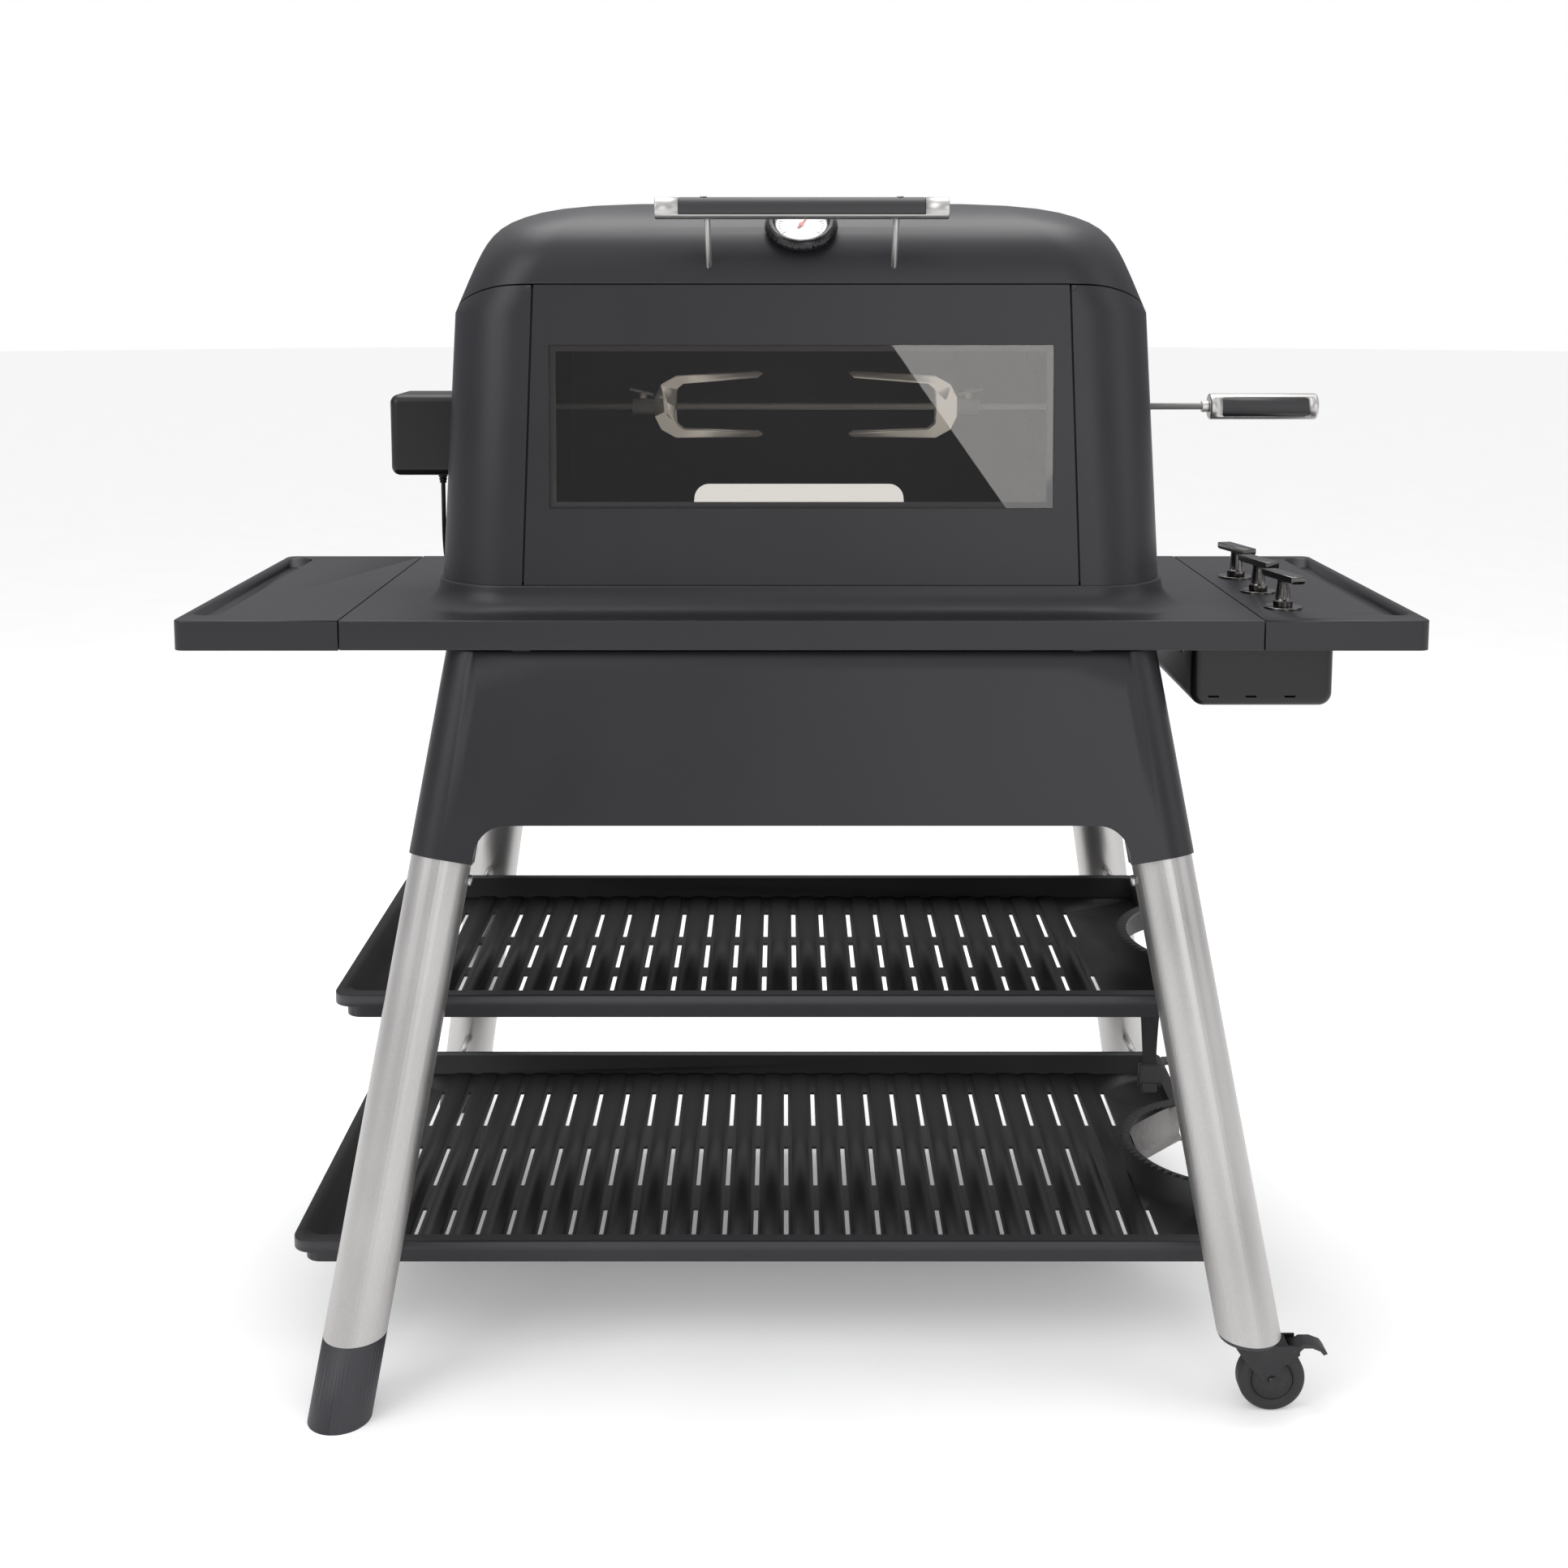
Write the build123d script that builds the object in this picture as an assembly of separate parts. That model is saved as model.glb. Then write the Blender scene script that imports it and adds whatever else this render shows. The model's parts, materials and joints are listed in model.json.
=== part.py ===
"""Free-standing gas barbecue with an extended rotisserie hood.

Millimetres. +X is the viewer's right, +Y runs away from the front, +Z is up.
The origin is on the ground, under the middle of the table.
"""
from build123d import *
import math
import os

# ---- driving dimensions -------------------------------------------------
TABLE_TOP = 956.0
TABLE_W = 1572.0
TABLE_D = 574.0
FASCIA = 38.0
TABLE_BOTTOM = TABLE_TOP - FASCIA
SEAM_X = 578.0
SEAM_GAP = 1.0
TABLE_SKIN = 5.0

HOOD_BASE = 991.0
HOOD_KNEE = 1335.0
WALL = 3.0
BASE_HALF, BASE_FRONT, BASE_REAR, BASE_R = 472.0, -226.0, 165.0, 100.0
KNEE_HALF, KNEE_FRONT, KNEE_REAR, KNEE_R = 453.0, -203.0, 158.0, 98.0
DOME_RISE = 145.0
DOME_RIDGE_Y = -12.0
DOME_BANDS = 16
SEAM_FRONT_Z = 1372.5
SEAM_SIDE_Z = 1342.0
SEAM_DIP_START = -196.0
SEAM_DIP_END = -120.0
PANEL_HALF_LOW = 355.0
PANEL_HALF_HIGH = 340.0
PANEL_GAP = 1.3

WINDOW_HALF = 320.0
WINDOW_LOW = 1089.0
WINDOW_HIGH = 1296.0
GLASS = 4.0

SPIT_Z = 1205.0
SPIT_R = 4.5
FIT = 0.06

LEG_TOP_X, LEG_FOOT_X = 408.0, 564.0
LEG_TOP_Y, LEG_FOOT_Y = 240.0, 452.0
LEG_R = 38.0
LEG_WALL = 2.0
POST_R = 42.0
SOCKET_END = 657.0
SKIRT_BOTTOM = 706.0
FRAME_TOP = 916.0
TUBE_END = 98.0

UPPER_RIM = 459.0
LOWER_RIM = 151.0
TRAY_DEPTH = 34.0
TRAY_FLOOR = 4.0
BOTTLE_X, BOTTLE_Y = 612.0, -20.0

KNOB_X = 624.0
INLET_R = 9.0
KNOB_Y = (-191.0, -60.0, 70.0)
BURNER_Y = (-140.0, -30.0, 80.0)
FEED_Z = 903.0

WHEEL_R = 41.0
TRAIL = 28.0
BRAKE_X, BRAKE_Z = 54.0, 80.0

HANDLE_Y, HANDLE_Z = -255.0, 1465.0
HANDLE_R = 13.5
HANDLE_HALF = 181.0

GAUGE_Y, GAUGE_Z = -168.5, 1442.0
GAUGE_TILT = 48.0

PIVOT_Y, PIVOT_Z = 173.0, 1341.0
HINGE_X = 250.0

MOTOR_LEFT = -556.0
MOTOR_FRONT, MOTOR_REAR = -52.0, 56.0
MOTOR_LOW, MOTOR_HIGH = 1114.0, 1224.0

CORD_R = 3.0
GLAND_X, GLAND_Y = -496.0, 12.0
GLAND_LOW = 1098.0
CORD_POINTS = (
    (-496.0, 12.0, 1098.0),
    (-496.0, 12.0, 1072.0),
    (-497.5, 20.0, 1042.0),
    (-500.0, 36.0, 1012.0),
    (-503.0, 62.0, 984.0),
    (-503.0, 98.0, 965.0),
    (-492.0, 138.0, 960.2),
    (-466.5, 176.7, 959.6),
    (-438.2, 210.4, 959.6),
    (-405.0, 239.3, 959.6),
    (-370.3, 264.6, 959.6),
)
COIL_X, COIL_Y, COIL_Z = -330.0, 241.5, 956.5
COIL_INNER_R, COIL_OUTER_R = 20.0, 45.0
COIL_HEIGHT = 12.4
PLUG_X, PLUG_Y, PLUG_TURN = -277.2, 255.3, -35.0


# ---- helpers --------------------------------------------------------------
def block(x0, x1, y0, y1, z0, z1):
    """Box between two corners."""
    size = Box(x1 - x0, y1 - y0, z1 - z0)
    return Pos((x0 + x1) / 2, (y0 + y1) / 2, (z0 + z1) / 2) * size


def round_rect(half, front, rear, radius, z):
    """Horizontal rounded rectangle as a face."""
    place = Plane.XY.offset(z) * Pos(0, (front + rear) / 2)
    return place * RectangleRounded(2 * half, rear - front, radius)


def rod(start, end, radius):
    """Cylinder between two points."""
    a = Vector(*start)
    axis = Vector(*end) - a
    return extrude(Plane(a, z_dir=axis) * Circle(radius), axis.length)


def x_cylinder(x0, x1, y, z, radius):
    return rod((x0, y, z), (x1, y, z), radius)


def y_cylinder(x, y0, y1, z, radius):
    return rod((x, y0, z), (x, y1, z), radius)


def z_cylinder(x, y, z0, z1, radius):
    return rod((x, y, z0), (x, y, z1), radius)


def leg_point(z, side, end):
    """Point of a leg's axis: side is -1 left or 1 right, end is -1 front or 1 rear."""
    drop = (TABLE_BOTTOM - z) / TABLE_BOTTOM
    x = LEG_TOP_X + (LEG_FOOT_X - LEG_TOP_X) * drop
    y = LEG_TOP_Y + (LEG_FOOT_Y - LEG_TOP_Y) * drop
    return Vector(side * x, end * y, z)


def leg_axis(side, end):
    """Unit direction of a leg, pointing down."""
    return (leg_point(0, side, end) - leg_point(TABLE_BOTTOM, side, end)).normalized()


CORNERS = [(side, end) for side in (-1, 1) for end in (-1, 1)]


# ---- hood envelope --------------------------------------------------------
def hood_lower(inset):
    """Solid inside of the upright part of the hood, drawn in by the inset."""
    low = round_rect(BASE_HALF - inset, BASE_FRONT + inset, BASE_REAR - inset, BASE_R - inset, HOOD_BASE)
    high = round_rect(KNEE_HALF - inset, KNEE_FRONT + inset, KNEE_REAR - inset, KNEE_R - inset, HOOD_KNEE)
    return loft([low, high], ruled=True)


def dome_section(angle, inset):
    """Rounded rectangle of the dome; the angle runs from 0 at the knee to 90 at the ridge."""
    rise = math.sin(math.radians(angle))
    height = DOME_RISE * rise
    half = (KNEE_HALF - inset - 0.43 * height) * (1 - rise ** 8) ** 0.2
    round_off = math.sqrt(1 - rise ** 4)
    front = (DOME_RIDGE_Y - KNEE_FRONT - inset - 0.067 * height) * round_off
    rear = (KNEE_REAR - DOME_RIDGE_Y - inset - 0.1 * height) * round_off
    radius = min(KNEE_R - inset, 0.45 * (front + rear))
    z = HOOD_KNEE + height - inset * rise
    return round_rect(half, DOME_RIDGE_Y - front, DOME_RIDGE_Y + rear, radius, z)


def hood_upper(inset):
    """Solid inside of the domed part of the hood, drawn in by the inset."""
    angles = [87.5 * (index / DOME_BANDS) for index in range(DOME_BANDS + 1)]
    return loft([dome_section(angle, inset) for angle in angles], ruled=True)


def seam_solid(shift, top=1600.0, bottom=None):
    """Everything above the lid seam (or between two copies of it), moved up by the shift."""
    path = [(-330, SEAM_FRONT_Z), (SEAM_DIP_START, SEAM_FRONT_Z),
            (SEAM_DIP_END, SEAM_SIDE_Z), (330, SEAM_SIDE_Z)]
    low = FilletPolyline(*[(y, z + shift) for y, z in path], radius=60)
    if bottom is not None:
        low = FilletPolyline(*[(y, z + bottom) for y, z in path], radius=60)
        high = FilletPolyline(*[(y, z + shift) for y, z in path], radius=60)
        rest = [Line(low @ 1, high @ 1), high, Line(high @ 0, low @ 0)]
    else:
        rest = [Polyline(low @ 1, (330, top), (-330, top), low @ 0)]
    face = make_face([*low.edges(), *[edge for part in rest for edge in part.edges()]])
    return extrude(Plane.YZ.offset(-600) * face, 1200)


def panel_wedge(y0, y1, grow):
    """Tapered block that separates the front or rear panel from the side panels."""
    low = PANEL_HALF_LOW + grow
    high = PANEL_HALF_HIGH + grow
    corners = [(-low, HOOD_BASE - 1), (low, HOOD_BASE - 1), (high, 1380), (-high, 1380)]
    face = make_face(Polyline(*corners, close=True))
    return extrude(Plane(origin=(0, y1, 0), x_dir=(1, 0, 0), z_dir=(0, -1, 0)) * face, y1 - y0)


LEAN = math.degrees(math.atan2(KNEE_FRONT - BASE_FRONT, HOOD_KNEE - HOOD_BASE))


def front_plate(z0, z1, half0, half1, depth0, depth1):
    """Plate in the leaning front plane, between two depths behind its face."""
    scale = 1 / math.cos(math.radians(LEAN))
    low = (z0 - HOOD_BASE) * scale
    high = (z1 - HOOD_BASE) * scale
    place = Plane(origin=(0, BASE_FRONT, HOOD_BASE), x_dir=(1, 0, 0),
                  z_dir=(0, -math.cos(math.radians(LEAN)), math.sin(math.radians(LEAN))))
    face = make_face(Polyline((-half0, low), (half0, low), (half1, high), (-half1, high), close=True))
    return extrude(place.offset(-depth1) * face, depth1 - depth0)


# ---- table ----------------------------------------------------------------
def table_center():
    y = TABLE_D / 2
    half = SEAM_X - SEAM_GAP
    slab = block(-half, half, -y, y, TABLE_BOTTOM, TABLE_TOP)
    neck = extrude(round_rect(BASE_HALF + 4, BASE_FRONT - 4, BASE_REAR + 4, BASE_R + 4, TABLE_TOP - 10),
                   HOOD_BASE - TABLE_TOP + 10)
    body = slab + neck
    foot = [e for e in body.edges().filter_by_position(Axis.Z, TABLE_TOP - 0.1, TABLE_TOP + 0.1)
            if abs(e.center().X) < half - 5 and abs(e.center().Y) < y - 5]
    body = fillet(foot, 33)
    rim = body.edges().filter_by_position(Axis.Z, HOOD_BASE - 0.1, HOOD_BASE + 0.1)
    body = fillet(rim, 3)
    fascia = body.edges().filter_by(Axis.X).filter_by_position(Axis.Y, -y - 0.1, -y + 0.1)
    body = fillet(fascia, 2.5)
    body -= block(-half + TABLE_SKIN, half - TABLE_SKIN, -y + 6, y - 6, TABLE_BOTTOM - 1, TABLE_TOP - TABLE_SKIN)
    body -= extrude(round_rect(BASE_HALF - 8, BASE_FRONT + 8, BASE_REAR - 8, BASE_R - 8, TABLE_BOTTOM),
                    HOOD_BASE - 7 - TABLE_BOTTOM)
    body -= extrude(round_rect(440, -195, 134, 14, TABLE_BOTTOM), 200)
    for side in (-1, 1):
        for tongue in (-150, 150):
            x0, x1 = sorted((side * (half - 8), side * (half + 8)))
            body -= block(x0, x1, tongue - 16, tongue + 16, TABLE_BOTTOM + 1, TABLE_BOTTOM + 14)
    return body


def side_shelf(side):
    y = TABLE_D / 2
    x_in = SEAM_X + SEAM_GAP
    x_out = TABLE_W / 2
    body = block(x_in, x_out, -y, y, TABLE_BOTTOM, TABLE_TOP)
    outer = body.edges().filter_by(Axis.Z).filter_by_position(Axis.X, x_out - 0.1, x_out + 0.1)
    body = fillet(outer, 14)
    rims = [e for e in body.edges().filter_by_position(Axis.Z, TABLE_TOP - 0.1, TABLE_TOP + 0.1)
            if e.center().X > x_in + 1]
    body = fillet(rims, 2.5)
    body -= block(x_in + 4, x_out - 6, -y + 6, y - 6, TABLE_BOTTOM - 1, TABLE_TOP - TABLE_SKIN)
    slot = Pos(x_out - 30, 5, TABLE_TOP - 12) * extrude(SlotOverall(505, 36, rotation=90), 20)
    tub = Pos(x_out - 30, 5, TABLE_TOP - 15) * extrude(SlotOverall(511, 42, rotation=90), 12)
    body += tub
    body -= slot
    for tongue in (-150, 150):
        body += block(x_in - 32, x_in + 6, tongue - 15, tongue + 15, TABLE_BOTTOM + 2, TABLE_BOTTOM + 13)
    if side > 0:
        for y_knob in KNOB_Y:
            body -= z_cylinder(KNOB_X, y_knob, TABLE_TOP - 10, TABLE_TOP + 1, 8)
        return body
    return mirror(body, about=Plane.YZ)


# ---- cooking parts --------------------------------------------------------
def firebox():
    shell = block(-432, 432, -187, 126, 800, HOOD_BASE + 3)
    shell = fillet(shell.edges().filter_by(Axis.Z), 10)
    inner = block(-429, 429, -184, 123, 803, HOOD_BASE + 4)
    flange = extrude(round_rect(450, -205, 144, 44, HOOD_BASE), 3)
    body = shell + flange - inner
    body -= block(-110, 110, -85, 35, 799, 804)
    for y in BURNER_Y:
        body -= x_cylinder(425, 440, y, FEED_Z, 8)
    for side in (-1, 1):
        x0, x1 = sorted((side * 153.5, side * 157))
        body += block(x0, x1, -120, 126, 784.5, 801)
        x0, x1 = sorted((side * 143, side * 157))
        body += block(x0, x1, -120, 126, 784.5, 787.7)
    return body


def burners():
    tubes = []
    for y in BURNER_Y:
        tube = x_cylinder(-380, 400, y, FEED_Z, 14) - x_cylinder(-377, 401, y, FEED_Z, 12)
        collar = x_cylinder(380, 424, y, FEED_Z, 12) - x_cylinder(379, 425, y, FEED_Z, 6.5)
        for index in range(12):
            x = -330 + index * 58
            for end in (-1, 1):
                tube -= rod((x, y, FEED_Z), (x, y + end * 16, FEED_Z + 12), 2)
        foot = block(-374, -360, y - 6, y + 6, 803, FEED_Z - 12.5)
        stand = block(350, 364, y - 6, y + 6, 803, FEED_Z - 12.5)
        tubes.append(tube + collar + foot + stand)
    return Compound(children=tubes)


def flame_tamers():
    bars = []
    for y in BURNER_Y:
        profile = Polyline((y - 32, 930), (y, 950), (y + 32, 930), (y + 32, 928), (y, 947.6), (y - 32, 928),
                           close=True)
        bar = extrude(Plane.YZ.offset(-400) * make_face(profile), 800)
        for x in (-300, -100, 100, 300):
            bar -= block(x - 30, x + 30, y + 12, y + 18, 920, 960)
            bar -= block(x - 30, x + 30, y - 18, y - 12, 920, 960)
        bars.append(bar)
    return Compound(children=bars)


def cooking_grills():
    grates = []
    for centre in (-215.5, 215.5):
        x0, x1 = centre - 211, centre + 211
        grate = block(x0, x1, -182, 121, 972, 982) - block(x0 + 10, x1 - 10, -172, 111, 971, 983)
        for index in range(1, 20):
            x = x0 + index * 21.1
            grate += block(x - 3.5, x + 3.5, -173, 112, 974, 984)
        for y in (-90, -30.5, 29):
            grate += block(x0 + 5, x1 - 5, y - 3, y + 3, 972, 980)
        for side in (-1, 1):
            for y in (-172, 111):
                grate += block(centre + side * 190 - 5, centre + side * 190 + 5, y - 5, y + 5, 951, 973)
        grates.append(grate)
    return Compound(children=grates)


def drip_tray():
    tray = block(-140, 140, -120, 225, 765, 793)
    tray = fillet(tray.edges().filter_by(Axis.Z), 14)
    tray -= block(-137, 137, -117, 222, 768, 794)
    return tray + block(-152, -139, -118, 200, 788, 793) + block(139, 152, -118, 200, 788, 793)


def gas_manifold():
    body = y_cylinder(654, -205, 113, 872, INLET_R - 1)
    body += y_cylinder(654, 112.5, 132, 872, INLET_R)
    body -= y_cylinder(654, 100, 133, 872, 5)
    for y_knob, y_burner in zip(KNOB_Y, BURNER_Y):
        body += block(KNOB_X - 15, KNOB_X + 15, y_knob - 17, y_knob + 17, 888, 938)
        body += z_cylinder(KNOB_X, y_knob, 937, 944, 9)
        body += rod((KNOB_X + 8, y_knob, 896), (654, y_knob, 872), 7)
        path = FilletPolyline((KNOB_X - 10, y_knob, FEED_Z), (KNOB_X - 50, y_knob, FEED_Z),
                              (KNOB_X - 104, y_burner, FEED_Z), (402, y_burner, FEED_Z), radius=20)
        body += sweep(Plane(path @ 0, z_dir=path % 0) * Circle(5), path)
    return body


def valve_cover():
    outer = block(502, 684, -225, 112, 833, 917)
    outer = fillet(outer.edges().filter_by(Axis.Y).filter_by_position(Axis.Z, 832, 834), 17)
    outer = fillet(outer.edges().filter_by(Axis.X).filter_by_position(Axis.Z, 832, 834), 12)
    inner = block(504.5, 681.5, -222.5, 109.5, 835.5, 918)
    inner = fillet(inner.edges().filter_by(Axis.Y).filter_by_position(Axis.Z, 835, 836), 15)
    inner = fillet(inner.edges().filter_by(Axis.X).filter_by_position(Axis.Z, 835, 836), 10)
    body = outer - inner
    body -= block(500, 506, -160, 100, 890, 918)
    body -= y_cylinder(654, 105, 115, 872, INLET_R + 0.6)
    for x in (530, 578, 628):
        body -= block(x - 7, x + 7, -226, -220, 845, 847.5)
    return body


def knob_bezels():
    rings = []
    for y in KNOB_Y:
        ring = z_cylinder(KNOB_X, y, TABLE_TOP, TABLE_TOP + 3, 24.5)
        ring = fillet(ring.edges().filter_by_position(Axis.Z, TABLE_TOP + 2.9, TABLE_TOP + 3.1), 1.2)
        ring -= z_cylinder(KNOB_X, y, TABLE_TOP - 1, TABLE_TOP + 4, 4 + FIT)
        rings.append(ring)
    return Compound(children=rings)


def gas_knob(y):
    z = TABLE_TOP + 3.4
    body = Pos(KNOB_X, y, z) * extrude(RegularPolygon(14, 6), 7)
    body += Pos(KNOB_X, y, z + 7) * Cone(10.5, 7.5, 27, align=(Align.CENTER, Align.CENTER, Align.MIN))
    lever = Pos(KNOB_X, y, z + 38) * Box(20, 78, 10)
    lever = fillet(lever.edges().filter_by(Axis.Y).filter_by_position(Axis.Z, z + 32, z + 34), 4.5)
    lever = fillet(lever.edges().filter_by_position(Axis.Z, z + 42.9, z + 43.1), 1.5)
    body += lever
    body += z_cylinder(KNOB_X, y, TABLE_TOP - 8, z + 1, 4)
    return Pos(KNOB_X, y, 0) * Rot(0, 0, 14) * Pos(-KNOB_X, -y, 0) * body


# ---- leg frame and legs ---------------------------------------------------
def frame_outline(z):
    """Outside of the leg frame at a height."""
    corner = leg_point(z, 1, 1)
    return Plane.XY.offset(z) * RectangleRounded(2 * (corner.X + POST_R), 2 * (corner.Y + POST_R), POST_R)


def frame_inner(z, panel):
    """Inside of the leg frame at a height: straight panels between round posts."""
    corner = leg_point(z, 1, 1)
    reach = POST_R - panel
    bite = math.sqrt(POST_R ** 2 - reach ** 2)
    swing = POST_R * math.sqrt(0.5)
    ax, ay = corner.X, corner.Y
    edges = []
    for sx, sy in ((1, 1), (-1, 1), (-1, -1), (1, -1)):
        panel_x = (sx * (ax + reach), sy * (ay - bite))
        panel_y = (sx * (ax - bite), sy * (ay + reach))
        middle = (sx * (ax - swing), sy * (ay - swing))
        first, last = (panel_x, panel_y) if sx * sy > 0 else (panel_y, panel_x)
        edges.append(ThreePointArc(first, middle, last))
    lines = [Line(edges[i] @ 1, edges[(i + 1) % 4] @ 0) for i in range(4)]
    wires = [edge for part in (*edges, *lines) for edge in part.edges()]
    return Plane.XY.offset(z) * make_face(wires)


def arch(along_x):
    """Opening under a panel, between two posts, run right through the frame."""
    low, high = SOCKET_END - 30, SKIRT_BOTTOM
    at_low, at_high = leg_point(low, 1, 1), leg_point(high, 1, 1)
    half_low = (at_low.X if along_x else at_low.Y) - POST_R - 1.5
    half_high = (at_high.X if along_x else at_high.Y) - POST_R - 1.5
    face = make_face(Polyline((-half_low, low), (half_low, low), (half_high, high), (-half_high, high), close=True))
    face = fillet(face.vertices().group_by(Axis.Y)[-1], 40)
    if along_x:
        return extrude(Plane(origin=(0, 500, 0), x_dir=(1, 0, 0), z_dir=(0, -1, 0)) * face, 1000)
    return extrude(Plane(origin=(-600, 0, 0), x_dir=(0, 1, 0), z_dir=(1, 0, 0)) * face, 1200)


def leg_frame():
    low = SOCKET_END - 12
    bead = 736.0
    body = loft([frame_outline(low), frame_outline(FRAME_TOP)], ruled=True)
    body -= loft([frame_inner(low, 16), frame_inner(FRAME_TOP, 16)], ruled=True)
    body -= loft([frame_inner(bead, 4), frame_inner(FRAME_TOP, 4)], ruled=True)
    body -= arch(True)
    body -= arch(False)
    for side, end in CORNERS:
        axis = leg_axis(side, end)
        centre = leg_point(SOCKET_END, side, end)
        cut = Plane(centre, z_dir=axis) * Rectangle(160, 160)
        body -= extrude(cut, 60)
        body -= rod(tuple(leg_point(600, side, end)), tuple(leg_point(906, side, end)), LEG_R + 0.1)
    for end in (-1, 1):
        y0, y1 = sorted((end * 262, end * (LEG_TOP_Y + POST_R - 3)))
        body += block(-340, 340, y0, y1, 888, TABLE_TOP - TABLE_SKIN)
    body -= block(-156, 156, 200, 330, 762, 797)
    for y in BURNER_Y:
        body -= x_cylinder(430, 520, y, FEED_Z, 8)
    return body


def leg_tube(side, end):
    top = leg_point(900, side, end)
    foot = leg_point(TUBE_END - 40, side, end)
    tube = rod(tuple(top), tuple(foot), LEG_R) - rod(tuple(top), tuple(foot), LEG_R - LEG_WALL)
    return tube - block(-800, 800, -700, 700, 0, TUBE_END)


def feet():
    """Plastic feet of the left legs and end caps of the right legs."""
    pieces = []
    for end in (-1, 1):
        top = leg_point(TUBE_END + 60, -1, end)
        deep = leg_point(-60, -1, end)
        foot = rod(tuple(top), tuple(deep), LEG_R)
        foot -= block(-800, 800, -700, 700, TUBE_END, 300)
        foot -= block(-800, 800, -700, 700, -100, 0)
        spigot = rod(tuple(top), tuple(leg_point(60, -1, end)), LEG_R - LEG_WALL)
        spigot -= block(-800, 800, -700, 700, 0, TUBE_END - 1)
        pieces.append(foot + spigot)
    for end in (-1, 1):
        at = leg_point(TUBE_END, 1, end)
        cap = z_cylinder(at.X, at.Y, TUBE_END - 6, TUBE_END, 37)
        cap = fillet(cap.edges().filter_by_position(Axis.Z, TUBE_END - 6.1, TUBE_END - 5.9), 3)
        cap -= z_cylinder(at.X, at.Y, TUBE_END - 7, TUBE_END + 1, 6 + FIT)
        pieces.append(cap)
    return Compound(children=pieces)


def leg_bolts():
    """One screw head low on the inner side of each socket."""
    heads = []
    for side, end in CORNERS:
        at = leg_point(SOCKET_END - 22, side, end)
        inward = Vector(-side, 0, -0.17).normalized()
        start = at + inward * (LEG_R + 0.1)
        head = rod(tuple(start), tuple(start + inward * 4), 7)
        heads.append(head - rod(tuple(start + inward * 2), tuple(start + inward * 5), 2.6))
    return Compound(children=heads)


# ---- shelves --------------------------------------------------------------
def tray_outline(x0, x1, half, inset, radius, z):
    place = Plane.XY.offset(z) * Pos((x0 + x1) / 2, 0)
    return place * RectangleRounded(x1 - x0 - 2 * inset, 2 * (half - inset), radius)


def shelf_tray(x0, x1, half, rim, notch_r, first_slot, slots, rows):
    """Moulded tray with a flange, a ribbed floor and a bottle notch at the right end."""
    bottom = rim - TRAY_DEPTH
    floor = bottom + TRAY_FLOOR
    body = extrude(tray_outline(x0, x1, half, 0, 26, rim - 15), 15)
    body = fillet(body.edges().filter_by_position(Axis.Z, rim - 0.1, rim + 0.1), 2)
    body += extrude(tray_outline(x0, x1, half, 13, 22, bottom), TRAY_DEPTH - 1)
    body -= extrude(tray_outline(x0, x1, half, 19, 16, floor), TRAY_DEPTH)
    pitch = 41.0
    inner_y = half - 21
    for index in range(slots - 1):
        x = first_slot + (index + 0.5) * pitch
        body += block(x - 12, x + 12, -inner_y, inner_y, floor - 0.5, floor + 2.5)
    collar = z_cylinder(BOTTLE_X, BOTTLE_Y, bottom, rim + 2, notch_r)
    collar &= extrude(tray_outline(x0, x1, half, 1, 25, bottom), TRAY_DEPTH + 10)
    body += collar
    body -= z_cylinder(BOTTLE_X, BOTTLE_Y, bottom - 1, rim + 5, notch_r - 14)
    body -= z_cylinder(BOTTLE_X, BOTTLE_Y, bottom - 1, rim - 2, notch_r - 6)
    for index in range(slots):
        x = first_slot + index * pitch
        for y0, y1 in rows:
            middle = (y0 + y1) / 2
            if math.hypot(x - BOTTLE_X, middle - BOTTLE_Y) > notch_r + (y1 - y0) / 2 + 6:
                body -= block(x - 3, x + 3, y0, y1, bottom - 1, floor + 4)
    return body


UPPER_TRAY = (-607.0, 535.0, 256.0)
LOWER_TRAY = (-657.0, 578.0, 309.0)
UPPER_NOTCH = 162.0
LOWER_NOTCH = 150.0


def upper_shelf():
    rows = ((-205, -96), (-70, 30), (56, 165))
    return shelf_tray(*UPPER_TRAY, UPPER_RIM, UPPER_NOTCH, -500, 23, rows)


def lower_shelf():
    rows = ((-250, -158), (-92, 30), (100, 220))
    return shelf_tray(*LOWER_TRAY, LOWER_RIM, LOWER_NOTCH, -552, 26, rows)


def shelf_brackets():
    """Round spacers that carry the two trays between the legs."""
    pieces = []
    for rim, (x0, x1, half) in ((UPPER_RIM, UPPER_TRAY), (LOWER_RIM, LOWER_TRAY)):
        z = rim - 8
        for side, end in CORNERS:
            at = leg_point(z, side, end)
            bar = y_cylinder(at.X, end * half, end * (abs(at.Y) - 20), z, 6)
            bar -= rod(tuple(leg_point(z + 80, side, end)), tuple(leg_point(z - 80, side, end)), LEG_R)
            pieces.append(bar)
    return Compound(children=pieces)


def bottle_cradle():
    """Bent steel strip under the lower shelf's notch that the gas bottle stands in."""
    reach = LOWER_NOTCH - 8
    low, high = LOWER_RIM - TRAY_DEPTH - 14, LOWER_RIM - 4

    def octagon(radius, z):
        return Pos(BOTTLE_X, BOTTLE_Y, z) * RegularPolygon(radius, 8, major_radius=True, rotation=22.5)

    outer = extrude(octagon(reach, low), high - low)
    inner = extrude(octagon(reach - 3, low + 3), 60) + extrude(octagon(reach - 26, low - 2), 60)
    keep = block(LOWER_TRAY[1] - 170, LOWER_TRAY[1] - 6, -250, 250, low - 5, high + 5)
    return (outer - inner) & keep


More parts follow.
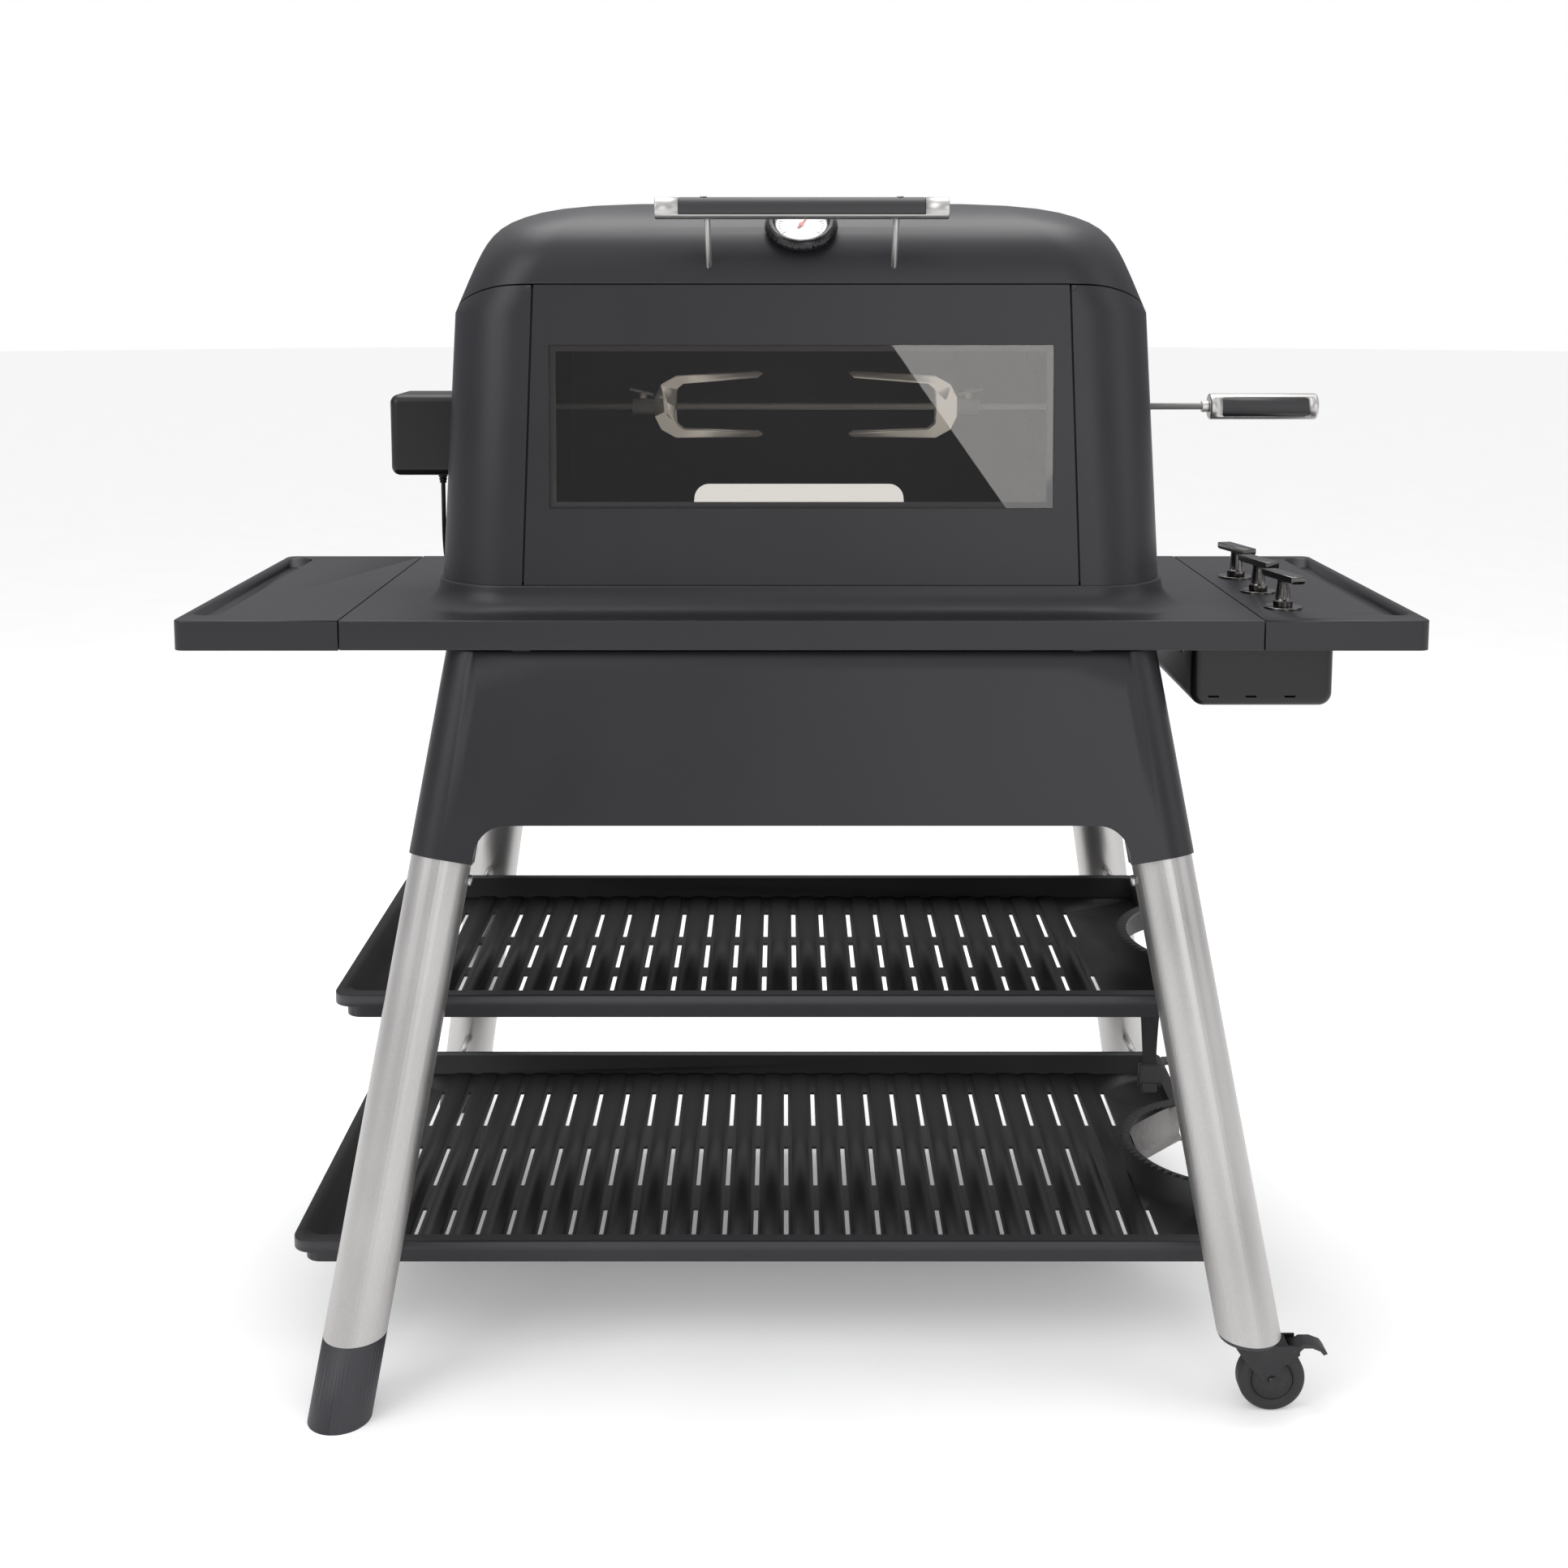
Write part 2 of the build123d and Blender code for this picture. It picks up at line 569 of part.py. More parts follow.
def bottle_strap():
    """Webbing that hangs from the upper shelf with its buckle closed on its end."""
    top = UPPER_RIM - TRAY_DEPTH
    strap = block(474, 496, -93, -91, 296, top)
    buckle = block(468, 502, -98, -86, 256, 300)
    buckle = fillet(buckle.edges().filter_by(Axis.Y), 6)
    return strap + buckle


# ---- hood -----------------------------------------------------------------
def hood_side(side):
    shell = hood_lower(0) + hood_upper(0)
    shell -= hood_lower(WALL) + hood_upper(WALL)
    shell -= seam_solid(-1)
    shell -= panel_wedge(-300, -60, PANEL_GAP)
    shell -= panel_wedge(60, 300, PANEL_GAP)
    shell -= block(-PANEL_HALF_HIGH + 30, PANEL_HALF_HIGH - 30, -300, 300, 980, 1500)
    hole = x_cylinder(-500, 500, 0, SPIT_Z, 14)
    piece = shell & block(min(0, side * 600), max(0, side * 600), -400, 400, 900, 1600)
    return piece - hole


def hood_front_panel():
    high = PANEL_HALF_LOW - PANEL_GAP
    top_z = SEAM_FRONT_Z - 1
    body = front_plate(HOOD_BASE + 0.4, top_z, high, PANEL_HALF_HIGH - PANEL_GAP + 0.3, 0, WALL)
    body -= front_plate(WINDOW_LOW, WINDOW_HIGH, WINDOW_HALF + 0.4, WINDOW_HALF + 0.4, -1, WALL + 1)
    lip = front_plate(WINDOW_LOW - 9, WINDOW_HIGH + 9, WINDOW_HALF + 9, WINDOW_HALF + 9, WALL - 0.2, GLASS + 2.5)
    lip -= front_plate(WINDOW_LOW - 0.4, WINDOW_HIGH + 0.4, WINDOW_HALF + 0.4, WINDOW_HALF + 0.4, 0, GLASS)
    lip -= front_plate(WINDOW_LOW + 8, WINDOW_HIGH - 8, WINDOW_HALF - 8, WINDOW_HALF - 8, 0, 20)
    return body + lip


def window_glass():
    pane = front_plate(WINDOW_LOW + 0.4, WINDOW_HIGH - 0.4, WINDOW_HALF, WINDOW_HALF, 0, GLASS)
    upright = [e for e in pane.edges() if abs(e.length - GLASS) < 0.2]
    return fillet(upright, 5)


def hood_rear_panel():
    shell = hood_lower(0) + hood_upper(0)
    shell -= hood_lower(WALL) + hood_upper(WALL)
    shell -= seam_solid(-1)
    body = shell & panel_wedge(100, 300, -PANEL_GAP)
    face = make_face(Polyline((-160, HOOD_BASE - 5), (160, HOOD_BASE - 5), (152, 1081), (-152, 1081), close=True))
    face = fillet(face.vertices().group_by(Axis.Y)[-1], 22)
    body -= extrude(Plane(origin=(0, 300, 0), x_dir=(1, 0, 0), z_dir=(0, -1, 0)) * face, 200)
    for side in (-1, 1):
        for offset in (-15, 15):
            x = side * HINGE_X + offset
            lug = block(x - 3, x + 3, 157, PIVOT_Y, PIVOT_Z - 26, PIVOT_Z + 4)
            lug += x_cylinder(x - 3, x + 3, PIVOT_Y, PIVOT_Z, 8)
            body += lug - hood_lower(WALL / 2) - block(x - 4, x + 4, 140, 160.5, SEAM_SIDE_Z - 2, 1400)
        body += x_cylinder(side * HINGE_X - 18, side * HINGE_X + 18, PIVOT_Y, PIVOT_Z, 4)
    return body


def hood_frame():
    """Inner skeleton: a rim that backs the lid seam and strips behind the panel seams."""
    near = hood_lower(WALL + 0.05) + hood_upper(WALL + 0.05)
    core = hood_lower(WALL + 4) + hood_upper(WALL + 4)
    body = (near - core) & seam_solid(-1, bottom=-44)
    body += (hood_upper(WALL + 2) - hood_upper(WALL + 4)) & seam_solid(8, bottom=-2)
    posts = hood_lower(WALL + 0.05) - hood_lower(WALL + 3)
    for y0, y1 in ((-300, -60), (60, 300)):
        body += posts & (panel_wedge(y0, y1, 16) - panel_wedge(y0, y1, -14))
    return body - block(-800, 800, -400, 400, 900, HOOD_BASE + 4)


def spit_bushes():
    bushes = []
    for side in (-1, 1):
        ring = x_cylinder(side * 452, side * 470, 0, SPIT_Z, 13.9)
        ring += x_cylinder(side * 452, side * 455.5, 0, SPIT_Z, 19)
        bushes.append(ring - x_cylinder(side * 440, side * 480, 0, SPIT_Z, SPIT_R + FIT))
    return Compound(children=bushes)


def motor_housing():
    outer = block(MOTOR_LEFT, -440, MOTOR_FRONT, MOTOR_REAR, MOTOR_LOW, MOTOR_HIGH)
    left = outer.edges().filter_by_position(Axis.X, MOTOR_LEFT - 0.1, MOTOR_LEFT + 0.1)
    outer = fillet([*left, *outer.edges().filter_by(Axis.X)], 12)
    inner = block(MOTOR_LEFT + 3, -430, MOTOR_FRONT + 3, MOTOR_REAR - 3, MOTOR_LOW + 3, MOTOR_HIGH - 3)
    inner_left = inner.edges().filter_by_position(Axis.X, MOTOR_LEFT + 2.9, MOTOR_LEFT + 3.1)
    inner = fillet([*inner_left, *inner.edges().filter_by(Axis.X)], 9)
    body = outer - inner - hood_lower(0)
    return body - z_cylinder(GLAND_X, GLAND_Y, MOTOR_LOW - 1, MOTOR_LOW + 5, 7)


def motor_core():
    """Gear motor with its output end towards the hood."""
    gearbox = block(-522, -484, -34, 40, 1165, 1219)
    gearbox = fillet(gearbox.edges().filter_by(Axis.X), 10)
    can = x_cylinder(-552, -518, 3, 1150, 24)
    foot = block(-500, -484, -34, 0, MOTOR_LOW + 3.2, 1168)
    body = gearbox + can + foot
    return body - x_cylinder(-500, -480, 0, SPIT_Z, 9 + FIT)


def drive_socket():
    """Output sleeve of the motor, square inside."""
    body = x_cylinder(-498, -472, 0, SPIT_Z, 9)
    body += x_cylinder(-483.5, -472, 0, SPIT_Z, 11)
    square = block(-490, -470, -3.3, 3.3, SPIT_Z - 3.3, SPIT_Z + 3.3)
    return body - square


def cord_gland():
    body = z_cylinder(GLAND_X, GLAND_Y, 1109, MOTOR_LOW + 8, 6.9)
    body += Pos(GLAND_X, GLAND_Y, GLAND_LOW) * Cone(4.4, 6.4, 11, align=(Align.CENTER, Align.CENTER, Align.MIN))
    body += z_cylinder(GLAND_X, GLAND_Y, 1110.5, MOTOR_LOW, 10)
    for z in (1100.5, 1104.5):
        body -= z_cylinder(GLAND_X, GLAND_Y, z, z + 1.4, 12) - z_cylinder(GLAND_X, GLAND_Y, z, z + 1.4, 4.3)
    return body


# ---- cord -----------------------------------------------------------------
def bend_route(points):
    """Straight runs joined by tangent arcs; prints each arc's radius."""
    edges = []
    start = Vector(*points[0])
    radii = []
    for before, here, after in zip(points, points[1:], points[2:]):
        a, b, c = Vector(*before), Vector(*here), Vector(*after)
        into, out = (b - a).normalized(), (c - b).normalized()
        half_turn = into.get_angle(out) / 2
        reach = 0.45 * min((b - a).length, (c - b).length)
        radii.append(reach / math.tan(math.radians(half_turn)))
        enter, leave = b - into * reach, b + out * reach
        toward = (out - into).normalized()
        radius = radii[-1]
        middle = b + toward * (radius / math.cos(math.radians(half_turn)) - radius)
        edges.append(Line(start, enter))
        edges.append(ThreePointArc(enter, middle, leave))
        start = leave
    edges.append(Line(start, Vector(*points[-1])))
    print("cord arc radii", [round(r, 1) for r in radii])
    return Wire([edge.edge() for edge in edges])


def cord_tube():
    path = bend_route(CORD_POINTS)
    tube = sweep(Plane(path @ 0, z_dir=path % 0) * Circle(CORD_R), path)
    print("cord tube length", round(path.length, 1), "volume ratio",
          round(tube.volume / (math.pi * CORD_R ** 2 * path.length), 4))
    return tube


def cord_coil():
    """Outer shape of the cord's two flat layers of turns on the rear deck."""
    top = COIL_Z + COIL_HEIGHT
    ring = z_cylinder(COIL_X, COIL_Y, COIL_Z, top, COIL_OUTER_R)
    return ring - z_cylinder(COIL_X, COIL_Y, COIL_Z - 1, top + 1, COIL_INNER_R)


def plug():
    """Two-pin plug on the deck beside the coil, with its tapered cable boot."""
    body = block(0, 38, -13, 13, 0.5, 20.5)
    body = fillet(body.edges().filter_by(Axis.X), 5)
    body += Pos(-13, 0, 10) * Rot(0, 90, 0) * Cone(3.6, 6, 13.5, align=(Align.CENTER, Align.CENTER, Align.MIN))
    for y in (-9.5, 9.5):
        body += x_cylinder(37, 56, y, 10.5, 2)
    return Pos(PLUG_X, PLUG_Y, TABLE_TOP) * Rot(0, 0, PLUG_TURN) * body


# ---- lid ------------------------------------------------------------------
def lid_shell():
    body = hood_upper(0) - hood_upper(WALL)
    body &= seam_solid(1)
    for side in (-1, 1):
        x = side * HINGE_X
        lug = block(x - 11, x + 11, 150, PIVOT_Y, PIVOT_Z - 2, PIVOT_Z + 16)
        lug += x_cylinder(x - 11, x + 11, PIVOT_Y, PIVOT_Z, 8)
        lug -= block(x - 12, x + 12, 100, 161.5, 1300, SEAM_SIDE_Z + 1.2)
        body += lug - hood_upper(WALL / 2)
        body -= x_cylinder(x - 12, x + 12, PIVOT_Y, PIVOT_Z, 4 + FIT)
    at = gauge_plane(0)
    return body - extrude(at.offset(-20) * Circle(7), 40)


def gauge_plane(offset):
    tilt = math.radians(GAUGE_TILT)
    normal = Vector(0, -math.cos(tilt), math.sin(tilt))
    return Plane(Vector(0, GAUGE_Y, GAUGE_Z) + normal * offset, x_dir=(1, 0, 0), z_dir=normal)


def lid_handle_bar():
    bar = x_cylinder(-HANDLE_HALF, HANDLE_HALF, HANDLE_Y, HANDLE_Z, HANDLE_R)
    bar = fillet(bar.edges(), 1.5)
    return bar - block(-152, 152, HANDLE_Y - 20, HANDLE_Y + 20, HANDLE_Z - 8, HANDLE_Z + 20)


def lid_handle_grip():
    grip = x_cylinder(-151.8, 151.8, HANDLE_Y, HANDLE_Z, HANDLE_R)
    grip &= block(-160, 160, HANDLE_Y - 20, HANDLE_Y + 20, HANDLE_Z - 8, HANDLE_Z + 20)
    return grip


def lid_handle_posts():
    pieces = []
    lid = hood_upper(0)
    for side in (-1, 1):
        x = side * 117
        top = (x, HANDLE_Y + 9, HANDLE_Z - 11)
        low = (x, -188, 1388)
        post = rod(top, low, 4) - lid
        post -= x_cylinder(-HANDLE_HALF, HANDLE_HALF, HANDLE_Y, HANDLE_Z, HANDLE_R + 0.05)
        pieces.append(post)
        screw = z_cylinder(side * 121, HANDLE_Y, HANDLE_Z + HANDLE_R + 0.02, HANDLE_Z + HANDLE_R + 1, 4.2)
        pieces.append(screw)
    return Compound(children=pieces)


def thermometer_body():
    rim = extrude(gauge_plane(0) * Circle(44), 5)
    rim += loft([gauge_plane(4.9) * Circle(47), gauge_plane(15) * Circle(42)], ruled=True)
    rim -= extrude(gauge_plane(6) * Circle(33), 20)
    rim -= loft([gauge_plane(11) * Circle(33), gauge_plane(15.1) * Circle(38)], ruled=True)
    rim -= extrude(gauge_plane(3) * Circle(1.5 + FIT), 5)
    probe = extrude(gauge_plane(-75) * Circle(3), 60) + extrude(gauge_plane(-16) * Circle(6.8), 16.5)
    return rim - hood_upper(0) + probe


def thermometer_dial():
    return extrude(gauge_plane(6) * Circle(32.8), 1) - extrude(gauge_plane(5) * Circle(2.5), 4)


def thermometer_needle():
    hub = extrude(gauge_plane(3.4) * Circle(1.5), 5) + extrude(gauge_plane(7.4) * Circle(3), 1.6)
    blade = extrude(gauge_plane(7.5) * Rot(0, 0, -30) * make_face(
        Polyline((-1.6, -8), (1.6, -8), (0.4, 26), (-0.4, 26), close=True)), 0.8)
    return hub + blade


# ---- spit -----------------------------------------------------------------
def spit_rod():
    body = x_cylinder(-468, 566, 0, SPIT_Z, SPIT_R)
    body += block(-488, -466, -3.0, 3.0, SPIT_Z - 3.0, SPIT_Z + 3.0)
    collar = x_cylinder(553, 563, 0, SPIT_Z, 8)
    return body + fillet(collar.edges(), 1.5)


HANDLE_X0, HANDLE_X1 = 563.0, 711.0
SPIT_GRIP_R = 18.0


def grip_pocket(face_y, reach):
    """Slot shape pressed into the front or rear of the spit handle."""
    place = Plane(origin=(0, face_y, 0), x_dir=(1, 0, 0), z_dir=(0, -1, 0))
    middle = (HANDLE_X0 + HANDLE_X1) / 2 + 1
    return extrude(place * Pos(middle, SPIT_Z) * RectangleRounded(118, 27, 5), reach)


def spit_handle():
    body = x_cylinder(HANDLE_X0, HANDLE_X1, 0, SPIT_Z, SPIT_GRIP_R)
    body = fillet(body.edges(), 3)
    body -= x_cylinder(HANDLE_X0 - 1, HANDLE_X0 + 3.2, 0, SPIT_Z, SPIT_R)
    return body - grip_pocket(-10, 20) - grip_pocket(30, 20)


def spit_grip():
    round_bar = x_cylinder(HANDLE_X0, HANDLE_X1, 0, SPIT_Z, SPIT_GRIP_R)
    pads = [round_bar & grip_pocket(-10, 20), round_bar & grip_pocket(30, 20)]
    return Compound(children=pads)


def fork_plate(y):
    """U-shaped plate with two pointed tines, drawn for the left fork."""
    outer = Polyline((-51, 1166.5), (-58, 1164), (-170, 1163), (-190, 1174), (-199, 1192), (-199, 1218),
                     (-190, 1236), (-170, 1247), (-58, 1253), (-51, 1251), (-58, 1245), (-160, 1237),
                     (-170, 1228), (-171, 1205), (-170, 1182), (-160, 1174), (-58, 1171), close=True)
    face = fillet(make_face(outer).vertices().filter_by_position(Axis.X, -195, -160), 5)
    return extrude(Plane(origin=(0, y + 2, 0), x_dir=(1, 0, 0), z_dir=(0, -1, 0)) * face, 4)


def fork_left():
    body = fork_plate(-14) + fork_plate(14)
    body += block(-198, -172, -14, 14, SPIT_Z - 12, SPIT_Z + 12)
    body += x_cylinder(-230, -196, 0, SPIT_Z, 11)
    body -= z_cylinder(-216, 0, SPIT_Z, SPIT_Z + 14, 3 + FIT)
    for z in (SPIT_Z - 9, SPIT_Z + 9):
        body += y_cylinder(-185, -17.2, -15, z, 2.6)
    return body - x_cylinder(-240, -150, 0, SPIT_Z, SPIT_R + FIT)


def fork_screw_left():
    body = z_cylinder(-216, 0, SPIT_Z + 5.2, SPIT_Z + 20, 3)
    body += z_cylinder(-216, 0, SPIT_Z + 11.5, SPIT_Z + 19, 5)
    wing = rod((-234, 0, SPIT_Z + 24), (-201, 0, SPIT_Z + 16), 2.2)
    return body + wing


# ---- casters --------------------------------------------------------------
def caster_centre(end):
    at = leg_point(TUBE_END, 1, end)
    return at.X, at.Y


def caster_fork(end):
    x, y = caster_centre(end)
    body = z_cylinder(x, y, 85, TUBE_END - 6.4, 24)
    body += z_cylinder(x, y, 90, TUBE_END - 2, 6)
    body += block(x - 18, x + 46, y - 16, y + 16, 84, 87)
    for side in (-1, 1):
        plate = make_face(Polyline((x - 20, 87), (x + 60, 87), (x + 60, 75), (x + TRAIL + 11, 60),
                                   (x + TRAIL + 9, 38), (x + TRAIL - 9, 38), (x - 6, 66), close=True))
        plate = fillet(plate.vertices().group_by(Axis.Y)[0], 7)
        body += extrude(Plane(origin=(0, y + side * 14.5 + 1.5, 0), x_dir=(1, 0, 0), z_dir=(0, -1, 0)) * plate, 3)
        body += y_cylinder(x + TRAIL, y + side * 16, y + side * 19.5, WHEEL_R, 6)
    body += y_cylinder(x + TRAIL, y - 16, y + 16, WHEEL_R, 4)
    return body - y_cylinder(x + BRAKE_X, y - 20, y + 20, BRAKE_Z, 2 + FIT)


def caster_wheel(end):
    x, y = caster_centre(end)
    tyre = y_cylinder(x + TRAIL, y - 11, y + 11, WHEEL_R, WHEEL_R)
    tyre = fillet(tyre.edges(), 5)
    for side in (-1, 1):
        face = y + side * 11
        groove = y_cylinder(x + TRAIL, face - 1.5, face + 1.5, WHEEL_R, 26)
        tyre -= groove - y_cylinder(x + TRAIL, face - 2, face + 2, WHEEL_R, 24.6)
    return tyre - y_cylinder(x + TRAIL, y - 20, y + 20, WHEEL_R, 4 + FIT)


def caster_brake(end):
    x, y = caster_centre(end)
    profile = Polyline((x + 50, 83), (x + 58, 83), (x + 64, 87), (x + 77, 87), (x + 90, 82), (x + 95, 75),
                       (x + 90, 73), (x + 86, 78), (x + 76, 82), (x + 66, 82), (x + 61, 77.5), (x + 52, 77.5),
                       close=True)
    body = extrude(Plane(origin=(0, y + 12, 0), x_dir=(1, 0, 0), z_dir=(0, -1, 0)) * make_face(profile), 24)
    return body + y_cylinder(x + BRAKE_X, y - 16, y + 16, BRAKE_Z, 2)


# ---- all nodes ------------------------------------------------------------
def build():
    nodes = {
        "table_center": table_center(),
        "side_shelf_left": side_shelf(-1),
        "side_shelf_right": side_shelf(1),
        "firebox": firebox(),
        "burners": burners(),
        "flame_tamers": flame_tamers(),
        "cooking_grills": cooking_grills(),
        "drip_tray": drip_tray(),
        "gas_manifold": gas_manifold(),
        "valve_cover": valve_cover(),
        "knob_bezels": knob_bezels(),
        "leg_frame": leg_frame(),
        "feet": feet(),
        "leg_bolts": leg_bolts(),
        "upper_shelf": upper_shelf(),
        "lower_shelf": lower_shelf(),
        "shelf_brackets": shelf_brackets(),
        "bottle_cradle": bottle_cradle(),
        "bottle_strap": bottle_strap(),
        "hood_side_left": hood_side(-1),
        "hood_side_right": hood_side(1),
        "hood_front_panel": hood_front_panel(),
        "hood_rear_panel": hood_rear_panel(),
        "hood_frame": hood_frame(),
        "window_glass": window_glass(),
        "spit_bushes": spit_bushes(),
        "motor_housing": motor_housing(),
        "motor_core": motor_core(),
        "drive_socket": drive_socket(),
        "cord_gland": cord_gland(),
        "cord_tube": cord_tube(),
        "cord_coil": cord_coil(),
        "plug": plug(),
        "lid_shell": lid_shell(),
        "lid_handle_bar": lid_handle_bar(),
        "lid_handle_grip": lid_handle_grip(),
        "lid_handle_posts": lid_handle_posts(),
        "thermometer_body": thermometer_body(),
        "thermometer_dial": thermometer_dial(),
        "thermometer_needle": thermometer_needle(),
        "spit_rod": spit_rod(),
        "spit_handle": spit_handle(),
        "spit_grip": spit_grip(),
        "fork_left": fork_left(),
        "fork_right": mirror(fork_left(), about=Plane.YZ.offset(8)),
        "fork_screw_left": fork_screw_left(),
        "fork_screw_right": mirror(fork_screw_left(), about=Plane.YZ.offset(8)),
    }
    for name, y in zip(("front", "middle", "rear"), KNOB_Y):
        nodes["gas_knob_" + name] = gas_knob(y)
    for end, end_name in ((-1, "front"), (1, "rear")):
        nodes["caster_fork_" + end_name] = caster_fork(end)
        nodes["caster_wheel_" + end_name] = caster_wheel(end)
        nodes["caster_brake_" + end_name] = caster_brake(end)
        for side, side_name in ((-1, "left"), (1, "right")):
            nodes["leg_" + end_name + "_" + side_name] = leg_tube(side, end)
    return nodes


os.makedirs("parts", exist_ok=True)
for node_name, solid in build().items():
    export_step(solid, os.path.join("parts", node_name + ".step"))
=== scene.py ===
"""Looks of the gas barbecue with its extended rotisserie hood, in metres."""
import json
import math
import bmesh
import bpy
from mathutils import Matrix, Vector


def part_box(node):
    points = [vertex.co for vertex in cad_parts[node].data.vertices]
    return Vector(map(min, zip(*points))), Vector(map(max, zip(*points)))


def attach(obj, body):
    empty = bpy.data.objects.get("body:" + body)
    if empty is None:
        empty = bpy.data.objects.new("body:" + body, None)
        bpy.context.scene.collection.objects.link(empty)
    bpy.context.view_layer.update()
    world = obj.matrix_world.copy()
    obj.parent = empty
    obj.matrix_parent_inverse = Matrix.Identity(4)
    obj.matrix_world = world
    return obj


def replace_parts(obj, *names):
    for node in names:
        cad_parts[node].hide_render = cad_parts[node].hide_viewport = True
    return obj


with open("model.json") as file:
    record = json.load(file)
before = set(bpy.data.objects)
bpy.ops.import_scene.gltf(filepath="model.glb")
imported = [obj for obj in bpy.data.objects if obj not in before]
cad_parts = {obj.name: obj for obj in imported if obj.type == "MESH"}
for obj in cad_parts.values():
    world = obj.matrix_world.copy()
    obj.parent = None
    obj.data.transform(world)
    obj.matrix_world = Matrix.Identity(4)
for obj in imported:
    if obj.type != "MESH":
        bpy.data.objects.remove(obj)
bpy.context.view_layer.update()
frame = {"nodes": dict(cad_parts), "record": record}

BODIES = frame["record"]["behaviour"]["bodies"]
BODY_OF = {node: body for body, nodes in BODIES.items() for node in nodes}


# ---- camera ----------------------------------------------------------------
def make_camera():
    """Nearly level view from the front, tipped down a little, with the frame shifted up."""
    data = bpy.data.cameras.new("camera")
    data.sensor_width = 36.0
    data.lens = 44.16
    data.shift_y = -0.17
    camera = bpy.data.objects.new("camera", data)
    camera.location = (-0.022, -2.650, 1.373)
    camera.rotation_euler = (math.radians(90 - 6.933), 0, 0)
    bpy.context.scene.collection.objects.link(camera)
    bpy.context.scene.camera = camera


make_camera()


# ---- materials ----------------------------------------------------------------
NOISE_LOW, NOISE_HIGH = 0.35, 0.65
RELIEF_DEPTH = 0.0004
CLOUD_SCALE = 6.0


def material(name, tones, rough, grain, bump, metallic=0.0, stretch=(1, 1, 1), **sockets):
    """Surface whose colour, roughness and relief follow noise in the piece's own space.

    tones and rough are each a low and a high value, grain is the scale of the fine noise and
    stretch its scale along each axis. Other arguments are sockets of the Principled shader.
    """
    mat = bpy.data.materials.new(name)
    mat.use_nodes = True
    tree = mat.node_tree
    shader = tree.nodes["Principled BSDF"]
    shader.inputs["Metallic"].default_value = metallic
    for socket, value in sockets.items():
        shader.inputs[socket.replace("_", " ")].default_value = value
    where = tree.nodes.new("ShaderNodeTexCoord")
    mapping = tree.nodes.new("ShaderNodeMapping")
    mapping.inputs["Scale"].default_value = stretch
    tree.links.new(where.outputs["Object"], mapping.inputs["Vector"])
    fine = tree.nodes.new("ShaderNodeTexNoise")
    fine.inputs["Scale"].default_value = grain
    fine.inputs["Detail"].default_value = 3.0
    tree.links.new(mapping.outputs["Vector"], fine.inputs["Vector"])
    wide = tree.nodes.new("ShaderNodeTexNoise")
    wide.inputs["Scale"].default_value = CLOUD_SCALE
    wide.inputs["Detail"].default_value = 2.0
    tree.links.new(where.outputs["Object"], wide.inputs["Vector"])
    both = tree.nodes.new("ShaderNodeMath")
    both.operation = "ADD"
    tree.links.new(fine.outputs["Fac"], both.inputs[0])
    tree.links.new(wide.outputs["Fac"], both.inputs[1])
    ramp = tree.nodes.new("ShaderNodeValToRGB")
    ramp.color_ramp.elements[0].position = NOISE_LOW
    ramp.color_ramp.elements[1].position = NOISE_HIGH
    ramp.color_ramp.elements[0].color = (*tones[0], 1)
    ramp.color_ramp.elements[1].color = (*tones[1], 1)
    half = tree.nodes.new("ShaderNodeMath")
    half.operation = "MULTIPLY"
    half.inputs[1].default_value = 0.5
    tree.links.new(both.outputs[0], half.inputs[0])
    tree.links.new(half.outputs[0], ramp.inputs["Fac"])
    tree.links.new(ramp.outputs["Color"], shader.inputs["Base Color"])
    spread = tree.nodes.new("ShaderNodeMapRange")
    spread.inputs["From Min"].default_value = NOISE_LOW
    spread.inputs["From Max"].default_value = NOISE_HIGH
    spread.inputs["To Min"].default_value = rough[0]
    spread.inputs["To Max"].default_value = rough[1]
    tree.links.new(half.outputs[0], spread.inputs["Value"])
    tree.links.new(spread.outputs["Result"], shader.inputs["Roughness"])
    relief = tree.nodes.new("ShaderNodeBump")
    relief.inputs["Strength"].default_value = bump
    relief.inputs["Distance"].default_value = RELIEF_DEPTH
    tree.links.new(fine.outputs["Fac"], relief.inputs["Height"])
    tree.links.new(relief.outputs["Normal"], shader.inputs["Normal"])
    return mat


def woven(name, tones, pitch):
    """Webbing: fine diagonal ribs over a plain tone."""
    mat = material(name, tones, (0.75, 0.9), 900, 0.3)
    tree = mat.node_tree
    wave = tree.nodes.new("ShaderNodeTexWave")
    wave.bands_direction = "DIAGONAL"
    wave.inputs["Scale"].default_value = 1 / pitch
    where = next(node for node in tree.nodes if node.type == "TEX_COORD")
    tree.links.new(where.outputs["Object"], wave.inputs["Vector"])
    relief = next(node for node in tree.nodes if node.type == "BUMP")
    relief.inputs["Strength"].default_value = 0.8
    tree.links.new(wave.outputs["Fac"], relief.inputs["Height"])
    return mat


